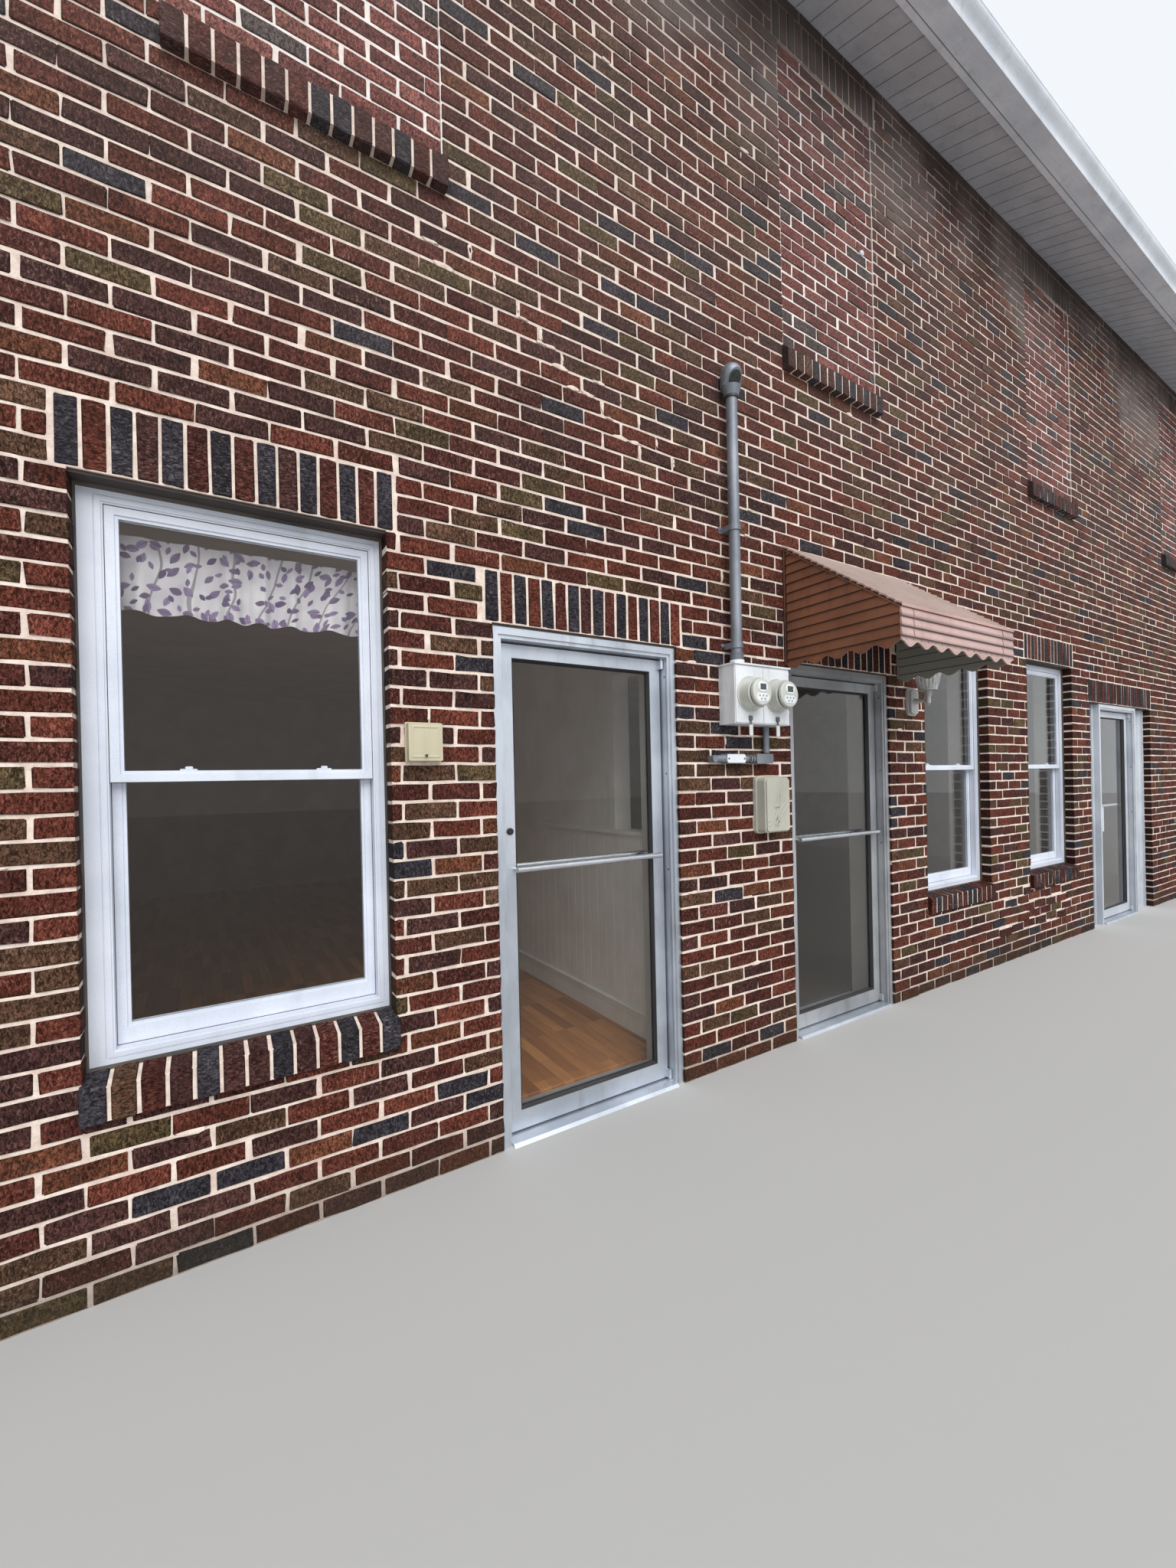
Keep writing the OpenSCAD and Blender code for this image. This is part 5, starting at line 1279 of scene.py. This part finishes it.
def makeShade():
    # radius = (foot + flare * b ^ power) * (1 + flute * b * cos(flutes * angle)), outside and then inside
    u0, u1, z0, z1, out = spanOf("lantern_shade")
    u, middle, high = (u0 + u1) / 2, out - (u1 - u0) / 2, z1 - z0 - 0.002
    foot, wall, neck = shade["foot"], shade["wall"], 0.6 * shade["foot"]
    angle = np.arange(shade["sides"]) * 2 * math.pi / shade["sides"]
    b = np.linspace(0, 1, shade["rings"])
    body = (foot + shade["flare"] * b ** shade["power"]) * (1 - 0.03 * np.sin(math.pi * b)) - 0.002
    outer = [(shade["hole"], 0.0005, 0), (neck, 0, 0)] + [(r, t * high + 0.001, t) for r, t in zip(body, b)]
    inner = [(r - wall, max(t * high, wall), t) for r, t in zip(body[::-1], b[::-1])]
    inner += [(neck, wall, 0), (shade["hole"], wall, 0)]
    r, z, t = np.array(outer + inner).T[..., None]
    wavy = r * (1 + shade["flute"] * np.minimum(1, 2.5 * t) * np.cos(shade["flutes"] * angle)[None])
    points = onWall(u + wavy * np.cos(angle), z0 + z, middle + wavy * np.sin(angle))
    shape = points, gridFaces(len(r), shade["sides"], wrapRows=True, wrapColumns=True)
    piece = makePiece("lantern_tulip_shade", shape, shadeMaterial(), smooth=True, closed=True)
    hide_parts("lantern_shade")
    ring = post(u, middle, z0 + np.array([0.0, 0.004, 0.009]), [foot + 0.001, foot + 0.002, foot - 0.001], 40)
    screw = post(u, middle, [z0 - 0.094, z0 - 0.084, z0 - 0.080], [0.005, 0.005, 0.004], 10)
    addTrim("lantern_shade_ring", [ring, screw], "lanternPaint")


makeShade()
print("valance and lantern ready")

shingles = {
    "exposure": 0.143, "tab": 0.305, "gap": 0.004, "lap": 0.05, "lift": 0.0075, "over": 0.012, "verge": 0.166,
    "light": (92, 89, 87), "dark": (58, 57, 58), "streak": (52, 50, 50),
}


def shingleMaterial():
    # a tone for each tab, mineral granules, and streaks down the slope
    look = newLook("mineral_shingles")
    place, tone = look.place(), look.add("Attribute", {}, attribute_name="tone")["Fac"]
    granules = look.noise(place, 420, 2, 0.7)
    colour = look.mix(tone, linear(shingles["dark"]), linear(shingles["light"]))
    colour = look.times(colour, look.ramp(granules, 0.25, 0.75, 0.55, 1.4), 0.8)
    streaks = look.ramp(look.noise(place, 1.7, 4, 0.6, stretch=(1, 0.2, 1)), 0.45, 0.75, 0, 0.45)
    look.shade({"Base Color": look.mix(streaks, colour, linear(shingles["streak"])), "Roughness": 0.95})
    look.bump(granules, 0.6, 0.0015)
    return look.made


shingleMade = shingleMaterial()


def layShingles(wall):
    # rows of tabs from the eave to the ridge: each tab is thin at its top and lifted at its lower edge
    cos, sin, tan = math.cos(roofPitch), math.sin(roofPitch), math.tan(roofPitch)
    exposure, tab, gap, lap, lift, over, verge = list(shingles.values())[:7]
    low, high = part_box("roof_front")
    edge = front - low[1] + over
    run = edge + (back - front) / 2
    slope, length = run / cos - 0.03, walls[wall]["length"] + 2 * verge
    rows, tabs = np.arange(int(slope / exposure)), np.arange(-1, int(length / tab) + 2)
    r, k = (x.ravel() for x in np.meshgrid(rows, tabs, indexing="ij"))
    start = -verge + (k + 0.5 * (r % 2)) * tab + random.normal(0, 0.002, len(k))
    start, finish = start.clip(-verge), (start + tab - gap).clip(None, length - verge)
    kept = finish - start > 0.02
    r, start, finish = r[kept], start[kept], finish[kept]
    foot = r * exposure + random.normal(0, 0.0015, len(r))
    head = (foot + exposure + lap).clip(None, slope)
    s, u = np.stack([foot] * 4 + [head] * 4, 1), np.stack([start, finish, finish, start] * 2, 1)
    n = np.array([-0.001, -0.001, lift, lift, -0.002, -0.002, 0.001, 0.001])
    points = onWall(u, high[2] - run * tan + s * sin + n * cos, edge - s * cos + n * sin, wall)
    faces = [[0, 1, 2, 3], [4, 7, 6, 5], [0, 4, 5, 1], [1, 5, 6, 2], [2, 6, 7, 3], [3, 7, 4, 0]]
    shape, tone = (points, repeatFaces(faces, len(r), 8)), random.uniform(0, 1, len(r))
    facts = {"tone": np.repeat(tone, 8)}
    makePiece(f"{wall}_shingles", shape, shingleMade, facts=facts, closed=True)


layShingles("front")
layShingles("back")
for node in ("roof_front", "roof_back", "ridge_cap"):
    paintNode(node, shingleMade)
print("roof shingled")

smears = {"scattered": 150, "points": 12, "proud": 0.0054, "lineFrom": (2.067, 3.544),
          "lineTo": (3.246, 2.925), "lineMore": 26, "clear": 0.06}


def mortarSmears():
    # blobs of mortar over the joints: each rim is a circle of uneven radius, stretched along its joint
    pitch, course = brickwork["pitch"], brickwork["course"]
    n, sides, clear, length = smears["scattered"], smears["points"], smears["clear"], walls["front"]["length"]
    k = random.integers(6, int(5.5 / course), n).astype(float)
    u = random.uniform(0.3, length - 0.3, n)
    first, last = np.array(smears["lineFrom"]), np.array(smears["lineTo"])
    t = np.linspace(0, 1, smears["lineMore"])
    k = np.concatenate([k, np.round((first[1] + t * (last[1] - first[1])) / course)])
    u = np.concatenate([u, first[0] + t * (last[0] - first[0]) + random.normal(0, 0.03, len(t))])
    shift = 0.5 * (k % 2)
    u = (np.round(u / pitch - shift) + shift) * pitch - 0.5 * brickwork["joint"]
    rising = random.uniform(0, 1, len(u)) < 0.55
    u = u + np.where(rising, 0, random.uniform(-0.08, 0.08, len(u)))
    z = k * course + np.where(rising, 0.5 * course, 0)
    for u0, u1, z0, z1, gap, depth in wallHoles("front")[0]:
        away = ~((u > u0 - clear) & (u < u1 + clear) & (z > z0 - clear) & (z < z1 + clear))
        u, z, rising = u[away], z[away], rising[away]
    count = len(u)
    half = np.where(rising[:, None], [[0.008, 0.026]], [[0.034, 0.009]])
    halfU, halfZ = (half * random.uniform(0.55, 1.35, (count, 1))).T[..., None, None]
    angle = np.arange(sides) * 2 * math.pi / sides
    rim = random.normal(1, 0.20, (count, 1, sides)).clip(0.6, 1.5)
    share = np.array([1.0, 0.86, 0.4])[None, :, None]
    x = u[:, None, None] + halfU * rim * share * np.cos(angle)
    y = z[:, None, None] + halfZ * rim * share * np.sin(angle)
    w = np.array([-0.001, smears["proud"], smears["proud"] + 0.0012])[None, :, None]
    faces = repeatFaces(gridFaces(3, sides, wrapColumns=True), count, 3 * sides).tolist()
    faces += repeatFaces([list(range(2 * sides, 3 * sides)), list(range(sides))], count, 3 * sides).tolist()
    makePiece("mortar_smears", (onWall(x, y, w), faces), mortarAndPlaster, closed=True)


wainscot = {"pitch": 0.089, "board": 0.086, "proud": 0.004, "face": 3.360, "low": 0.166, "high": 1.153,
            "from": 0.306, "beads": ((0.022, 0.150, 0.164), (0.018, 0.128, 0.136))}


def hallTrims():
    # upright boards with open joints between the baseboard and the rail, and a bead on the baseboard
    pitch, board, proud, face, low, high, start, beads = wainscot.values()
    depth = walls["left"]["length"] - start
    starts = np.arange(start, depth - board, pitch)
    rows = [[face - proud, face + 0.001, low, high, -y - board, -y] for y in starts]
    beads = [[face - reach, face - 0.013, z0, z1, -depth, -start] for reach, z0, z1 in beads]
    addTrim("hall_boards", [blocks(rows)], "wallPaint")
    addTrim("hall_baseboard_bead", [blocks(beads)], "wallPaint")


windowTrim = {"frame": 0.046, "filler": 0.024, "sashTop": 1.523, "lockAt": (0.26, 0.79), "lockHalf": 0.024,
              "sashFace": -0.119}


def windowTrims():
    # sealant round each front window's frame, and two locks on the lower sash's top rail
    seals, latches, gaps = [], [], []
    frameWidth, filler, z, shares, half, face = windowTrim.values()
    for k, (u0, u1, z0, z1, out) in enumerate(windows["front"]):
        corners = ((-0.001, -0.0005), (-0.001, 0.012), (0.005, 0.010), (0.0085, 0.0012), (0.0085, -0.0005))
        seals.append(border([[i, out + w] for i, w in corners], u0, u1, z0, z1))
        start = u0 + frameWidth + (filler if k == 0 else 0)
        for u in [start + share * (u1 - frameWidth - start) for share in shares]:
            base = u - half, u + half, z - 0.002, z + 0.006, face - 0.026, face - 0.004
            lever = u - 0.4 * half, u + 0.5 * half, z + 0.005, z + 0.014, face - 0.020, face - 0.008
            latches += [plate(*base, 0.003), plate(*lever, 0.004)]
    # a dark ring of painted shade in the gap round each sash
    for u0, u1, z0, z1, out in boxesByWall("window_sashes")["front"]:
        corners = ((-0.0006, -0.001), (-0.0006, 0.001), (0.0018, 0.001), (0.0018, -0.001))
        gaps.append(border([[i, out + w] for i, w in corners], u0, u1, z0, z1))
    addTrim("window_sealant", seals, "darkSealantAndGapShade")
    addTrim("window_sash_gaps", gaps, "darkSealantAndGapShade")
    addTrim("window_locks", latches, "windowVinyl")


vent = {"u": 4.812, "z": 4.693, "out": -0.010, "radius": 0.017}
panelScrews = {"strips": (8.222, 9.425, 9.782), "from": 0.18, "to": 2.0, "step": 0.26, "out": -0.055,
               "radius": 0.0055}


def smallTrims():
    # the round vent in a bricked-in window, the screws of the third door's panels, and open joints as dark
    # strips of painted shade
    u, z, out, r = vent.values()
    shapes = [drum(u, z, [out - 0.001, out + 0.010, out + 0.014], [r, r, 0.8 * r], 28),
              drum(u, z, [out + 0.013, out + 0.016], 0.35 * r, 16)]
    addTrim("wall_vent", shapes, "meterEnamel")
    strips, first, last, step, out, r = panelScrews.values()
    heights = np.arange(first, last, step)
    screws = [drum(u, z, [out - 0.001, out + 0.002], r, 8) for u in strips for z in heights]
    addTrim("door_3_panel_screws", screws, "steelScrew")
    addTrim("open_brick_joints", [blocks(openJoints)], "awningShade")


for trims in (mortarSmears, hallTrims, windowTrims, smallTrims):
    trims()
print("wall and window trims ready")
